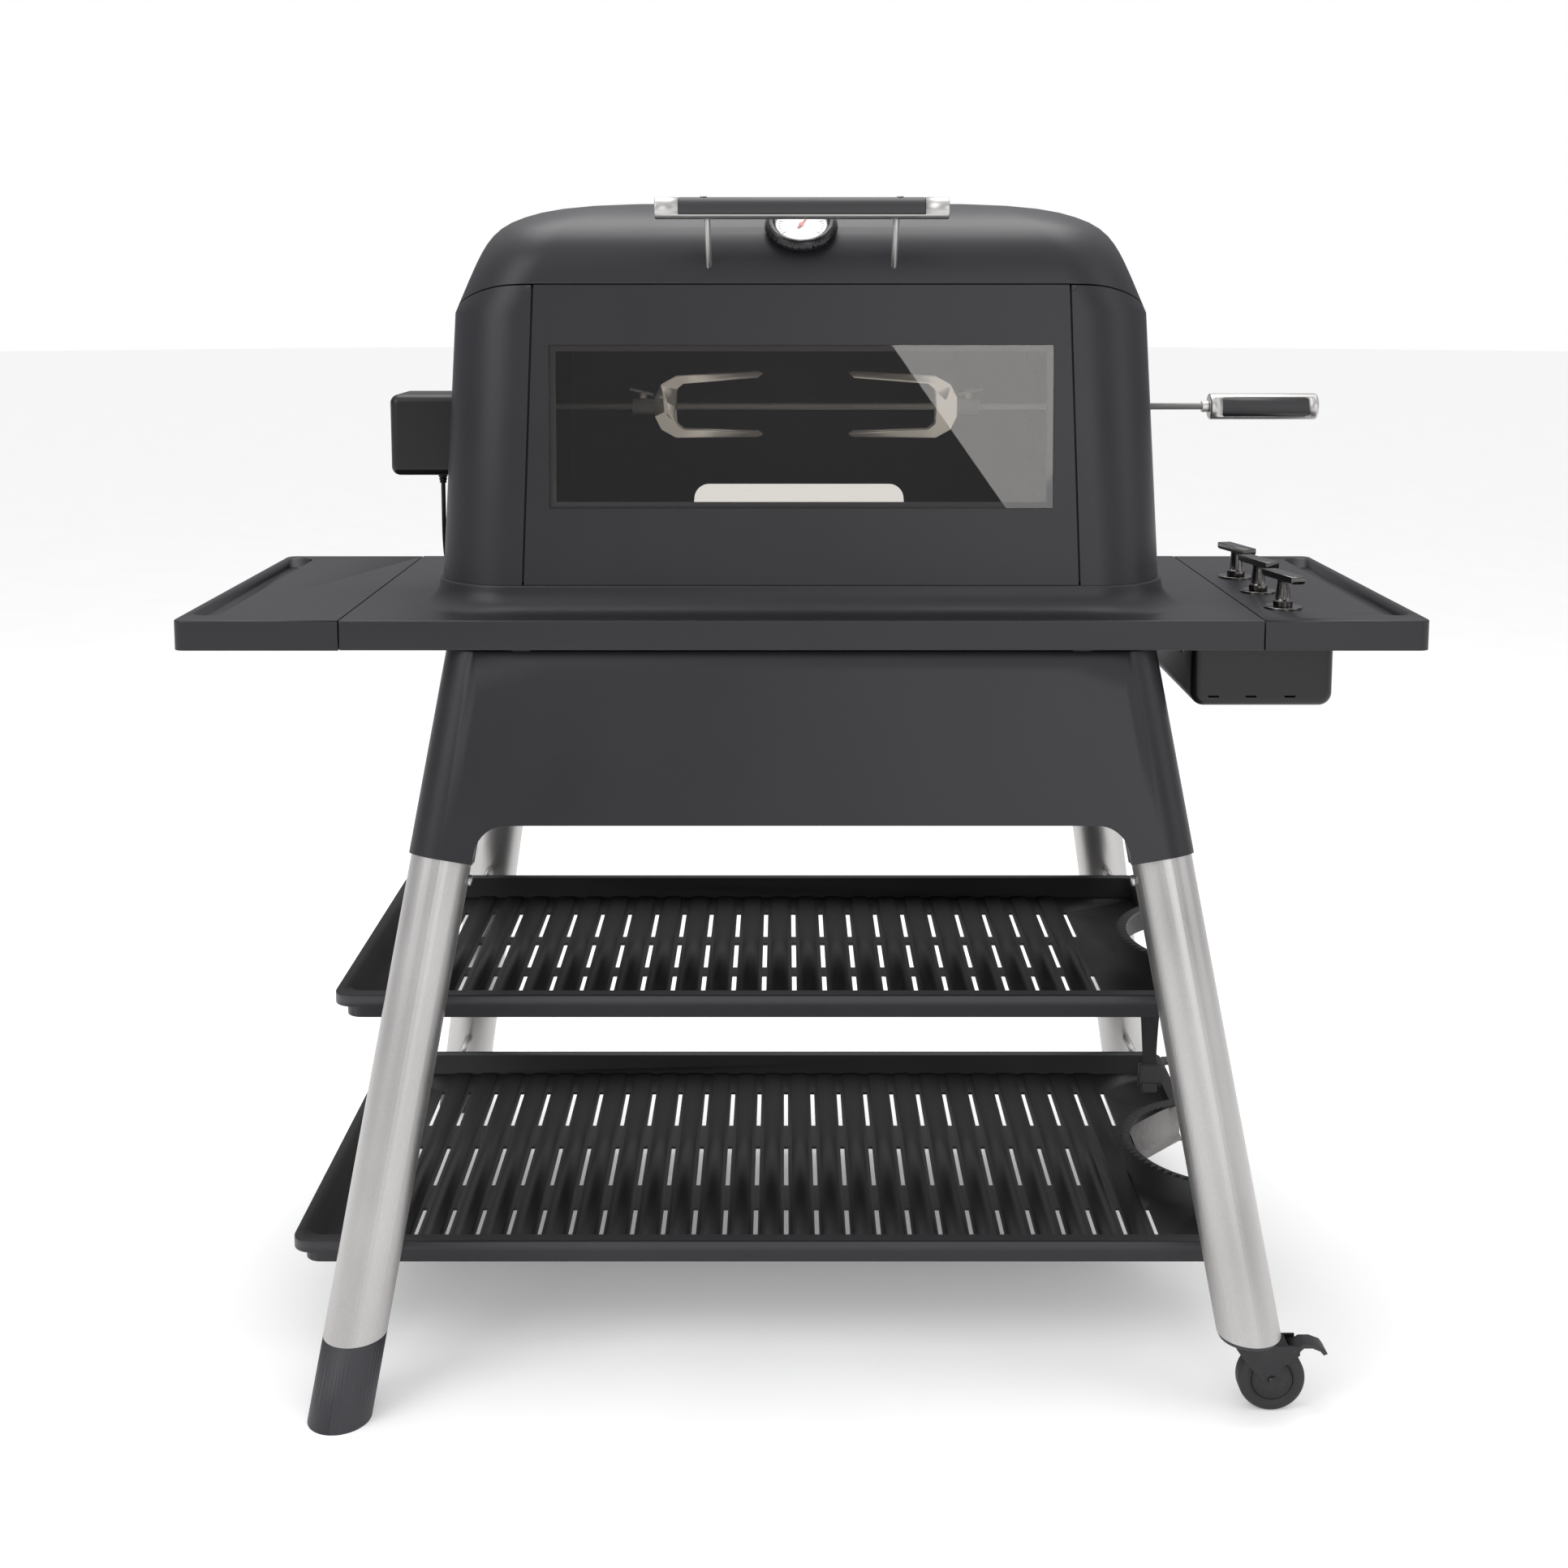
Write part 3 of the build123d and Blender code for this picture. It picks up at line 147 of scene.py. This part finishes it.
COAT = material("graphite_coat",
                ((0.0120, 0.0114, 0.0146), (0.0150, 0.0143, 0.0180)), (0.38, 0.45),
                1400, 0.10, Specular_IOR_Level=0.42)
# Lighter copy of the graphite coat: painted light that brightens the outward faces of the tray
# edges.
PAINTED_LIGHT_EDGE_COAT = material("tray_edge_coat_painted_light",
                     ((0.0290, 0.0280, 0.0320), (0.0350, 0.0340, 0.0385)), (0.38, 0.45),
                     1400, 0.10, Specular_IOR_Level=0.42)
TRAY = material("tray_enamel",
                ((0.0050, 0.0050, 0.0060), (0.0080, 0.0080, 0.0092)), (0.42, 0.52), 1100, 0.14)
STEEL = material("brushed_stainless",
                 ((0.46, 0.45, 0.44), (0.56, 0.55, 0.54)), (0.36, 0.46),
                 260, 0.10, metallic=1.0, stretch=(6, 6, 0.12))
STEEL_X = material("brushed_stainless_lengthways",
                   ((0.44, 0.43, 0.42), (0.56, 0.55, 0.535)), (0.32, 0.42),
                   260, 0.10, metallic=1.0, stretch=(0.12, 6, 6))
GUNMETAL = material("gunmetal",
                    ((0.13, 0.125, 0.12), (0.18, 0.175, 0.165)), (0.16, 0.26),
                    500, 0.05, metallic=1.0, stretch=(1, 4, 1))
SHEET = material("plain_sheet",
                 ((0.20, 0.20, 0.20), (0.30, 0.29, 0.28)), (0.38, 0.55), 120, 0.10, metallic=1.0)
BRIGHT_STEEL = material("bright_steel",
                        ((0.62, 0.61, 0.59), (0.74, 0.73, 0.71)), (0.30, 0.42),
                        420, 0.08, metallic=0.55, stretch=(0.3, 4, 4))
DARK_METAL = material("blackened_metal",
                      ((0.030, 0.030, 0.032), (0.045, 0.044, 0.046)), (0.22, 0.32),
                      700, 0.06, metallic=0.8)
GLOSSY_COAT = material("satin_black_coat",
                       ((0.0050, 0.0048, 0.0055), (0.0065, 0.0062, 0.0070)), (0.30, 0.38),
                       1300, 0.08, Specular_IOR_Level=0.42)
IRON = material("enamelled_iron",
                ((0.010, 0.010, 0.010), (0.018, 0.018, 0.018)), (0.35, 0.6), 500, 0.5)
PLASTIC = material("black_plastic",
                   ((0.018, 0.018, 0.020), (0.025, 0.025, 0.027)), (0.42, 0.55), 1600, 0.16)
FOOT = material("foot_plastic",
                ((0.026, 0.026, 0.032), (0.032, 0.032, 0.038)), (0.45, 0.58), 1500, 0.16)
RUBBER = material("black_rubber",
                  ((0.012, 0.012, 0.013), (0.018, 0.018, 0.019)), (0.5, 0.65), 900, 0.15)
BRASS = material("fitting_brass",
                 ((0.55, 0.42, 0.20), (0.68, 0.54, 0.28)), (0.25, 0.4), 300, 0.08, metallic=1.0)
WEBBING = woven("strap_webbing", ((0.014, 0.014, 0.016), (0.024, 0.024, 0.026)), 0.004)
DIAL = material("dial_enamel",
                ((0.80, 0.80, 0.78), (0.84, 0.84, 0.82)), (0.35, 0.42), 700, 0.02)
INK = material("dial_ink",
               ((0.02, 0.02, 0.02), (0.03, 0.03, 0.03)), (0.45, 0.55), 700, 0.02)
RED = material("needle_red",
               ((0.50, 0.05, 0.03), (0.58, 0.07, 0.04)), (0.35, 0.45), 700, 0.02)


def clear_pane(name, tint, rough, gloss_share):
    """Thin pane: tinted and see-through, with a fixed share of mirror gloss on each face."""
    mat = bpy.data.materials.new(name)
    mat.use_nodes = True
    tree = mat.node_tree
    gloss = tree.nodes["Principled BSDF"]
    gloss.inputs["Metallic"].default_value = 1.0
    gloss.inputs["Base Color"].default_value = (0.95, 0.95, 0.95, 1)
    where = tree.nodes.new("ShaderNodeTexCoord")
    noise = tree.nodes.new("ShaderNodeTexNoise")
    noise.inputs["Scale"].default_value = 9.0
    tree.links.new(where.outputs["Object"], noise.inputs["Vector"])
    spread = tree.nodes.new("ShaderNodeMapRange")
    spread.inputs["To Min"].default_value = rough[0]
    spread.inputs["To Max"].default_value = rough[1]
    tree.links.new(noise.outputs["Fac"], spread.inputs["Value"])
    tree.links.new(spread.outputs["Result"], gloss.inputs["Roughness"])
    through = tree.nodes.new("ShaderNodeBsdfTransparent")
    through.inputs["Color"].default_value = (*tint, 1)
    mix = tree.nodes.new("ShaderNodeMixShader")
    mix.inputs["Fac"].default_value = gloss_share
    tree.links.new(through.outputs["BSDF"], mix.inputs[1])
    tree.links.new(gloss.outputs["BSDF"], mix.inputs[2])
    tree.links.new(mix.outputs["Shader"], tree.nodes["Material Output"].inputs["Surface"])
    return mat


GLASS = clear_pane("window_glass_tint", (0.90, 0.88, 0.85), (0.0, 0.012), 0.05)
LENS = clear_pane("gauge_lens_clear", (0.98, 0.98, 0.98), (0.0, 0.02), 0.03)
# Dark brownish material for the inside of the hood: painted shade, darker than the outer coat.
PAINTED_SHADE_INSIDE = material("hood_inside_painted_shade",
                  ((0.0016, 0.0013, 0.0009), (0.0040, 0.0032, 0.0022)), (0.45, 0.6),
                  500, 0.2, Specular_IOR_Level=0.25)


# ---- helpers ----------------------------------------------------------------
SHARP = math.radians(28)
FLAT = math.radians(0.5)
WELD, SLIVER = 0.00002, 0.00001
HOOD_CORE_LOW = Vector((-0.34, -0.03, 0.99))
HOOD_CORE_HIGH = Vector((0.34, -0.03, 1.32))


def finish_piece(obj, mat, body, smooth=35):
    """Gives a piece its material, smooth faces and body."""
    mesh = obj.data
    mesh.materials.clear()
    mesh.materials.append(mat)
    for face in mesh.polygons:
        face.use_smooth = True
    mesh.set_sharp_from_angle(angle=math.radians(smooth))
    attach(obj, body)
    return obj


def from_bmesh(bm, name, mat, body, smooth=35):
    mesh = bpy.data.meshes.new(name)
    bm.to_mesh(mesh)
    bm.free()
    obj = bpy.data.objects.new(name, mesh)
    bpy.context.scene.collection.objects.link(obj)
    return finish_piece(obj, mat, body, smooth)


def skin(node, mat, bevel=0.0, smooth=35):
    """Welded copy of a CAD node with softened edges and its own material."""
    bm = bmesh.new()
    bm.from_mesh(frame["nodes"][node].data)
    bmesh.ops.remove_doubles(bm, verts=bm.verts, dist=WELD)
    bmesh.ops.dissolve_degenerate(bm, edges=bm.edges, dist=SLIVER)
    if bevel:
        bmesh.ops.dissolve_limit(bm, angle_limit=FLAT, verts=bm.verts, edges=bm.edges)
        soften(bm, bevel, angle=SHARP)
    obj = from_bmesh(bm, node + "_surface", mat, BODY_OF[node], smooth)
    if "custom_normal" in obj.data.attributes:
        obj.data.attributes.remove(obj.data.attributes["custom_normal"])
    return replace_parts(obj, node)


def paint_shade_inside(obj):
    """Gives the faces of a hood sheet that look inwards a dark brownish material, painted shade
    for the dim inside of the hood.
    """
    obj.data.materials.append(PAINTED_SHADE_INSIDE)
    for face in obj.data.polygons:
        centre = face.center
        core = Vector([min(high, max(low, at))
                       for at, low, high in zip(centre, HOOD_CORE_LOW, HOOD_CORE_HIGH)])
        if face.normal.dot(centre - core) < 0:
            face.material_index = 1


def add_box(bm, low, high):
    size = [b - a for a, b in zip(low, high)]
    middle = [(a + b) / 2 for a, b in zip(low, high)]
    place = Matrix.Translation(middle) @ Matrix.Diagonal((*size, 1))
    bmesh.ops.create_cube(bm, size=1, matrix=place)


def add_rod(bm, start, end, radius, sides=32):
    along = end - start
    turn = along.to_track_quat("Z", "Y").to_matrix().to_4x4()
    bmesh.ops.create_cone(bm, cap_ends=True, segments=sides, radius1=radius, radius2=radius,
                          depth=along.length, matrix=Matrix.Translation((start + end) / 2) @ turn)


def soften(bm, width, segments=2, angle=SHARP):
    """Bevels every edge that turns by more than the angle."""
    edges = [e for e in bm.edges if len(e.link_faces) == 2 and e.calc_face_angle(0) > angle]
    bmesh.ops.bevel(bm, geom=edges, offset=width, segments=segments, affect="EDGES",
                    clamp_overlap=True)


# ---- mains cord ----------------------------------------------------------------
CORD_D = 0.006
CORD_ROUTE = (
    (-0.4960, 0.0120, 1.0980),
    (-0.4960, 0.0120, 1.0720),
    (-0.4975, 0.0200, 1.0420),
    (-0.5000, 0.0360, 1.0120),
    (-0.5030, 0.0620, 0.9840),
    (-0.5030, 0.0980, 0.9650),
    (-0.4920, 0.1380, 0.9602),
    (-0.4665, 0.1767, 0.9596),
    (-0.4382, 0.2104, 0.9596),
    (-0.4050, 0.2393, 0.9596),
    (-0.3703, 0.2646, 0.9596),
)
COIL_CENTRE = (-0.3300, 0.2415)
COIL_OUTER, COIL_INNER = 0.0420, 0.0228
COIL_START, COIL_TURNS = math.radians(130), 6.208
LAYER_LOW, LAYER_RISE = 0.9596, 0.0062
CROSS_AT, CROSS_SPAN = 0.46, 0.08
BOOT_TIP = (-0.2878, 0.2628, 0.9660)
BOOT_INSIDE = (-0.2854, 0.2610, 0.9660)


def coil_points(per_turn=14):
    """Flat spiral inwards on the deck, one layer up, and out again."""
    count = int(per_turn * COIL_TURNS)
    points = []
    for index in range(count + 1):
        along = index / count
        angle = COIL_START - 2 * math.pi * COIL_TURNS * along
        radius = COIL_INNER + (COIL_OUTER - COIL_INNER) * abs(2 * along - 1)
        lift = min(1, max(0, (along - CROSS_AT) / CROSS_SPAN))
        lift = lift * lift * (3 - 2 * lift)
        points.append((COIL_CENTRE[0] + radius * math.cos(angle),
                       COIL_CENTRE[1] + radius * math.sin(angle),
                       LAYER_LOW + LAYER_RISE * lift))
    return points


def make_cord():
    """Lead from the motor down to the deck and into the coil, with its gland and plug."""
    curve = bpy.data.curves.new("mains_cord", "CURVE")
    curve.dimensions = "3D"
    curve.bevel_depth = CORD_D / 2
    curve.bevel_resolution = 6
    curve.resolution_u = 8
    curve.use_fill_caps = True
    spline = curve.splines.new("NURBS")
    route = [*CORD_ROUTE, *coil_points(), BOOT_TIP, BOOT_INSIDE]
    spline.points.add(len(route) - 1)
    for point, place in zip(spline.points, route):
        point.co = (*place, 1)
    spline.order_u = 3
    spline.use_endpoint_u = True
    cord = bpy.data.objects.new("mains_cord", curve)
    curve.materials.append(RUBBER)
    bpy.context.scene.collection.objects.link(cord)
    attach(cord, "frame")
    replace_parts(cord, "cord_tube", "cord_coil")
    gland = skin("cord_gland", PLASTIC, smooth=30)
    plug = skin("plug", PLASTIC, 0.0006)


make_cord()


# ---- table, trays and gas parts ----------------------------------------------------------------
SKIRT_DEPTH = 0.0155
UPRIGHT = 0.6


def paint_light_on_skirt(obj):
    """The outward faces of a tray's edge get a lighter copy of the coat, painted light; its inside
    is darker.
    """
    low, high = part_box(obj.name.removesuffix("_surface"))
    middle = (low + high) / 2
    # Outward edge faces take the painted light coat.
    obj.data.materials.append(PAINTED_LIGHT_EDGE_COAT)
    for face in obj.data.polygons:
        out = face.center - middle
        along_side = abs(out.y) > high.y - SKIRT_DEPTH
        near_edge = along_side or out.x < low.x - middle.x + SKIRT_DEPTH
        outward = face.normal.y * out.y > 0 if along_side else face.normal.x < 0
        if near_edge and outward and abs(face.normal.z) < UPRIGHT:
            face.material_index = 1


def make_table():
    skin("table_center", COAT, smooth=22)
    skin("side_shelf_left", COAT, smooth=25)
    skin("side_shelf_right", COAT, smooth=25)
    skin("firebox", SHEET)
    skin("burners", SHEET)
    skin("flame_tamers", SHEET)
    skin("cooking_grills", IRON, 0.0008)
    skin("drip_tray", SHEET)
    skin("gas_manifold", BRASS)
    skin("valve_cover", GLOSSY_COAT)
    skin("knob_bezels", GUNMETAL)
    for place in ("front", "middle", "rear"):
        skin("gas_knob_" + place, GUNMETAL, 0.0006)


def make_legs():
    skin("leg_frame", COAT, smooth=28)
    for side in ("left", "right"):
        for end in ("front", "rear"):
            skin(f"leg_{end}_{side}", STEEL)
    skin("feet", FOOT)
    skin("leg_bolts", STEEL, 0.0006)
    paint_light_on_skirt(skin("upper_shelf", TRAY))
    paint_light_on_skirt(skin("lower_shelf", TRAY))
    skin("shelf_brackets", STEEL_X)
    skin("bottle_cradle", SHEET)


# ---- hood and spit ----------------------------------------------------------------
PANE_FOOT_Y, PANE_FOOT_Z = -0.21942, 1.0894
PANE_TOP_Y, PANE_TOP_Z = -0.20564, 1.2956
PANE_THICK = 0.004


def make_window():
    """Flat pane that leans back with the front panel."""
    low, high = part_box("window_glass")
    lean = math.atan2(PANE_TOP_Y - PANE_FOOT_Y, PANE_TOP_Z - PANE_FOOT_Z)
    inward = Vector((0, math.cos(lean), -math.sin(lean))) * PANE_THICK
    bm = bmesh.new()
    front = [Vector((low.x, PANE_FOOT_Y, PANE_FOOT_Z)), Vector((high.x, PANE_FOOT_Y, PANE_FOOT_Z)),
             Vector((high.x, PANE_TOP_Y, PANE_TOP_Z)), Vector((low.x, PANE_TOP_Y, PANE_TOP_Z))]
    near = [bm.verts.new(corner) for corner in front]
    far = [bm.verts.new(corner + inward) for corner in front]
    bm.faces.new(near)
    bm.faces.new(far[::-1])
    for i in range(4):
        j = (i + 1) % 4
        bm.faces.new((near[j], near[i], far[i], far[j]))
    pane = from_bmesh(bm, "window_pane", GLASS, "frame")
    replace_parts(pane, "window_glass")


def make_hood():
    for node in ("hood_side_left", "hood_side_right", "hood_front_panel", "hood_rear_panel",
                 "lid_shell"):
        paint_shade_inside(skin(node, COAT, smooth=25))
    # The hood frame inside the hood also gets the painted shade.
    skin("hood_frame", PAINTED_SHADE_INSIDE)
    make_window()
    skin("spit_bushes", PLASTIC, 0.0005)
    skin("motor_housing", GLOSSY_COAT)
    skin("motor_core", SHEET)
    skin("drive_socket", STEEL_X)
    skin("lid_handle_bar", STEEL_X)
    skin("lid_handle_grip", PLASTIC, 0.0008)
    skin("lid_handle_posts", STEEL)
    skin("thermometer_body", DARK_METAL, 0.0006)
    skin("thermometer_dial", DIAL)
    skin("thermometer_needle", RED)


def make_spit():
    skin("spit_rod", BRIGHT_STEEL)
    skin("spit_handle", STEEL_X, 0.0005)
    skin("spit_grip", PLASTIC, 0.0008)
    for side in ("left", "right"):
        skin("fork_" + side, BRIGHT_STEEL, 0.0006)
        skin("fork_screw_" + side, BRIGHT_STEEL)


def make_casters():
    for end in ("front", "rear"):
        skin("caster_fork_" + end, DARK_METAL, 0.0006)
        skin("caster_wheel_" + end, RUBBER)
        skin("caster_brake_" + end, PLASTIC, 0.0006)


# ---- gauge face ----------------------------------------------------------------
GAUGE = Vector((0, -0.1685, 1.442))
GAUGE_TILT = math.radians(48)
GAUGE_NORMAL = Vector((0, -math.cos(GAUGE_TILT), math.sin(GAUGE_TILT)))
GAUGE_UP = Vector((0, math.sin(GAUGE_TILT), math.cos(GAUGE_TILT)))
GAUGE_FACE = 0.0070
MARK_COUNT, MARK_FIRST, MARK_STEP = 26, -125, 10
LONG_EVERY = 5
MARK_OUTER, LONG_INNER, SHORT_INNER = 0.0290, 0.0235, 0.0262
LONG_HALF, SHORT_HALF = 0.00055, 0.00035
MARK_BOTTOM, MARK_TOP = 0.00001, 0.00025
LENS_BACK, LENS_FRONT, LENS_RADIUS = 0.0112, 0.0122, 0.0332


def gauge_point(angle, radius, height):
    """Point on the dial: angle from its top, clockwise, and height above the lid."""
    across = Vector((1, 0, 0)) * math.sin(angle) * radius
    return GAUGE + across + GAUGE_UP * math.cos(angle) * radius + GAUGE_NORMAL * height


def make_gauge_marks():
    """Scale of 26 plain marks, every fifth one longer, and the clear lens over the dial."""
    bm = bmesh.new()
    for index in range(MARK_COUNT):
        angle = math.radians(MARK_FIRST + index * MARK_STEP)
        inner = LONG_INNER if index % LONG_EVERY == 0 else SHORT_INNER
        half = LONG_HALF if index % LONG_EVERY == 0 else SHORT_HALF
        side = Vector((math.cos(angle), 0, 0)) - GAUGE_UP * math.sin(angle)
        corners = []
        for radius in (inner, MARK_OUTER):
            for way in (-1, 1):
                corners.append(gauge_point(angle, radius, GAUGE_FACE) + side * way * half)
        low = [bm.verts.new(corners[i] + GAUGE_NORMAL * MARK_BOTTOM) for i in (0, 1, 3, 2)]
        high = [bm.verts.new(corners[i] + GAUGE_NORMAL * MARK_TOP) for i in (0, 1, 3, 2)]
        bm.faces.new(high)
        bm.faces.new(low[::-1])
        for i in range(4):
            j = (i + 1) % 4
            bm.faces.new((low[i], low[j], high[j], high[i]))
    bmesh.ops.recalc_face_normals(bm, faces=bm.faces)
    from_bmesh(bm, "gauge_marks", INK, "lid")
    bm = bmesh.new()
    add_rod(bm, GAUGE + GAUGE_NORMAL * LENS_BACK, GAUGE + GAUGE_NORMAL * LENS_FRONT,
            LENS_RADIUS, 64)
    from_bmesh(bm, "gauge_lens", LENS, "lid")


# ---- bottle strap ----------------------------------------------------------------
STRAP_X, STRAP_Y, STRAP_TOP, STRAP_DROP = 0.4850, -0.0920, 0.4245, 0.1290
STRAP_SPREAD, STRAP_GAP, STRAP_SAG = 0.0085, 0.0015, 0.0025
STRAP_HALF, STRAP_THICK = 0.0095, 0.0015
STRAP_STEPS = 16
BUCKLE_BODY = (0.4700, -0.0965, 0.2720), (0.5000, -0.0875, 0.2990)
BUCKLE_TONGUE = (0.4740, -0.0955, 0.2575), (0.4960, -0.0885, 0.2730)
BUCKLE_WING_LOW, BUCKLE_WING_HIGH = (-0.0950, 0.2650), (-0.0890, 0.2860)
BUCKLE_WINGS_X, BUCKLE_WING_THICK = (0.4690, 0.4980), 0.0030
BUCKLE_ROUND = 0.0016


def ribbon(bm, points, half, thick):
    """Flat band along a path; each point is x, y, z and the direction across the band."""
    rows = []
    for index, (x, y, z, across) in enumerate(points):
        before = Vector(points[max(index - 1, 0)][:3])
        after = Vector(points[min(index + 1, len(points) - 1)][:3])
        along = (after - before).normalized()
        side = Vector(across).normalized()
        up = along.cross(side).normalized() * thick / 2
        here = Vector((x, y, z))
        rows.append([bm.verts.new(here + side * half + up), bm.verts.new(here - side * half + up),
                     bm.verts.new(here - side * half - up), bm.verts.new(here + side * half - up)])
    for a, b in zip(rows, rows[1:]):
        for i in range(4):
            j = (i + 1) % 4
            bm.faces.new((a[i], a[j], b[j], b[i]))
    bm.faces.new(rows[0])
    bm.faces.new(rows[-1][::-1])


def make_strap():
    """Webbing that hangs in a narrow V from the upper tray and ends in a side-release buckle."""
    bm = bmesh.new()
    for way in (-1, 1):
        points = []
        for index in range(STRAP_STEPS + 1):
            along = index / STRAP_STEPS
            x = STRAP_X + way * STRAP_SPREAD * (1 - along) ** 1.4
            y = STRAP_Y + way * STRAP_GAP + STRAP_SAG * math.sin(along * math.pi)
            points.append((x, y, STRAP_TOP - along * STRAP_DROP, (1, way * 0.25 * (1 - along), 0)))
        ribbon(bm, points, STRAP_HALF, STRAP_THICK)
    bmesh.ops.recalc_face_normals(bm, faces=bm.faces)
    strap = from_bmesh(bm, "strap_webbing", WEBBING, "frame")
    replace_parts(strap, "bottle_strap")
    bm = bmesh.new()
    add_box(bm, *BUCKLE_BODY)
    add_box(bm, *BUCKLE_TONGUE)
    for x in BUCKLE_WINGS_X:
        add_box(bm, (x, *BUCKLE_WING_LOW), (x + BUCKLE_WING_THICK, *BUCKLE_WING_HIGH))
    soften(bm, BUCKLE_ROUND, 3)
    from_bmesh(bm, "strap_buckle", PLASTIC, "frame")


# ---- stage ----------------------------------------------------------------
FLOOR_RADIUS = 40
WHITE = (1, 1, 1, 1)
LOW_SKY = (0.26, 0.26, 0.28, 1)
LOW_AT, HIGH_AT = 0.15, 0.85
CARD_PLACE = Vector((1.089, -4.0, 1.816))
CARD_ACROSS = Vector((0.820, 0, 0.573))
FACING = Vector((0, -1, 0))


def area_light(name, place, target, size, power):
    data = bpy.data.lights.new(name, "AREA")
    data.shape = "RECTANGLE"
    data.size, data.size_y = size
    data.energy = power
    lamp = bpy.data.objects.new(name, data)
    lamp.location = place
    lamp.rotation_euler = (Vector(target) - Vector(place)).to_track_quat("-Z", "Y").to_euler()
    lamp.visible_camera = False
    bpy.context.scene.collection.objects.link(lamp)
    return lamp


def make_floor():
    bm = bmesh.new()
    bmesh.ops.create_circle(bm, cap_ends=True, segments=96, radius=FLOOR_RADIUS)
    mesh = bpy.data.meshes.new("floor")
    bm.to_mesh(mesh)
    bm.free()
    floor = bpy.data.objects.new("floor", mesh)
    mesh.materials.append(material("pale_floor", ((0.90, 0.90, 0.90), (0.92, 0.92, 0.92)),
                                   (0.8, 0.9), 3, 0.0,
                                   Emission_Color=WHITE, Emission_Strength=0.22))
    bpy.context.scene.collection.objects.link(floor)


def make_sky():
    """White to the camera; for light, dim below and bright above."""
    world = bpy.data.worlds.new("studio")
    bpy.context.scene.world = world
    world.use_nodes = True
    tree = world.node_tree
    sky = tree.nodes["Background"]
    where = tree.nodes.new("ShaderNodeTexCoord")
    split = tree.nodes.new("ShaderNodeSeparateXYZ")
    tree.links.new(where.outputs["Generated"], split.inputs["Vector"])
    ramp = tree.nodes.new("ShaderNodeValToRGB")
    ramp.color_ramp.elements[0].position = LOW_AT
    ramp.color_ramp.elements[0].color = LOW_SKY
    ramp.color_ramp.elements[1].position = HIGH_AT
    ramp.color_ramp.elements[1].color = WHITE
    tree.links.new(split.outputs["Z"], ramp.inputs["Fac"])
    path = tree.nodes.new("ShaderNodeLightPath")
    mix = tree.nodes.new("ShaderNodeMix")
    mix.data_type = "RGBA"
    tree.links.new(path.outputs["Is Camera Ray"], mix.inputs["Factor"])
    colours = {socket.name: socket for socket in mix.inputs if socket.type == "RGBA"}
    lit, seen = colours["A"], colours["B"]
    tree.links.new(ramp.outputs["Color"], lit)
    seen.default_value = WHITE
    mixed = next(socket for socket in mix.outputs if socket.type == "RGBA")
    tree.links.new(mixed, sky.inputs["Color"])
    sky.inputs["Strength"].default_value = 1.0


def make_stage():
    make_floor()
    make_sky()
    bpy.context.scene.view_settings.view_transform = "Standard"
    area_light("key", (-2.8, -2.6, 3.0), (0, 0, 0.9), (2.2, 3.0), 55)
    area_light("fill", (3.2, -1.2, 2.0), (0, 0, 0.8), (1.6, 2.6), 14)
    area_light("top", (0, 0.6, 3.6), (0, 0, 1.0), (2.6, 2.0), 60)
    card = area_light("window_card", CARD_PLACE, (CARD_PLACE.x, 0, CARD_PLACE.z), (1.4, 2.4), 26)
    turn = Matrix((CARD_ACROSS, FACING.cross(CARD_ACROSS), FACING)).transposed()
    card.rotation_euler = turn.to_euler()


make_table()
make_legs()
make_hood()
make_spit()
make_casters()
make_gauge_marks()
make_strap()
make_stage()
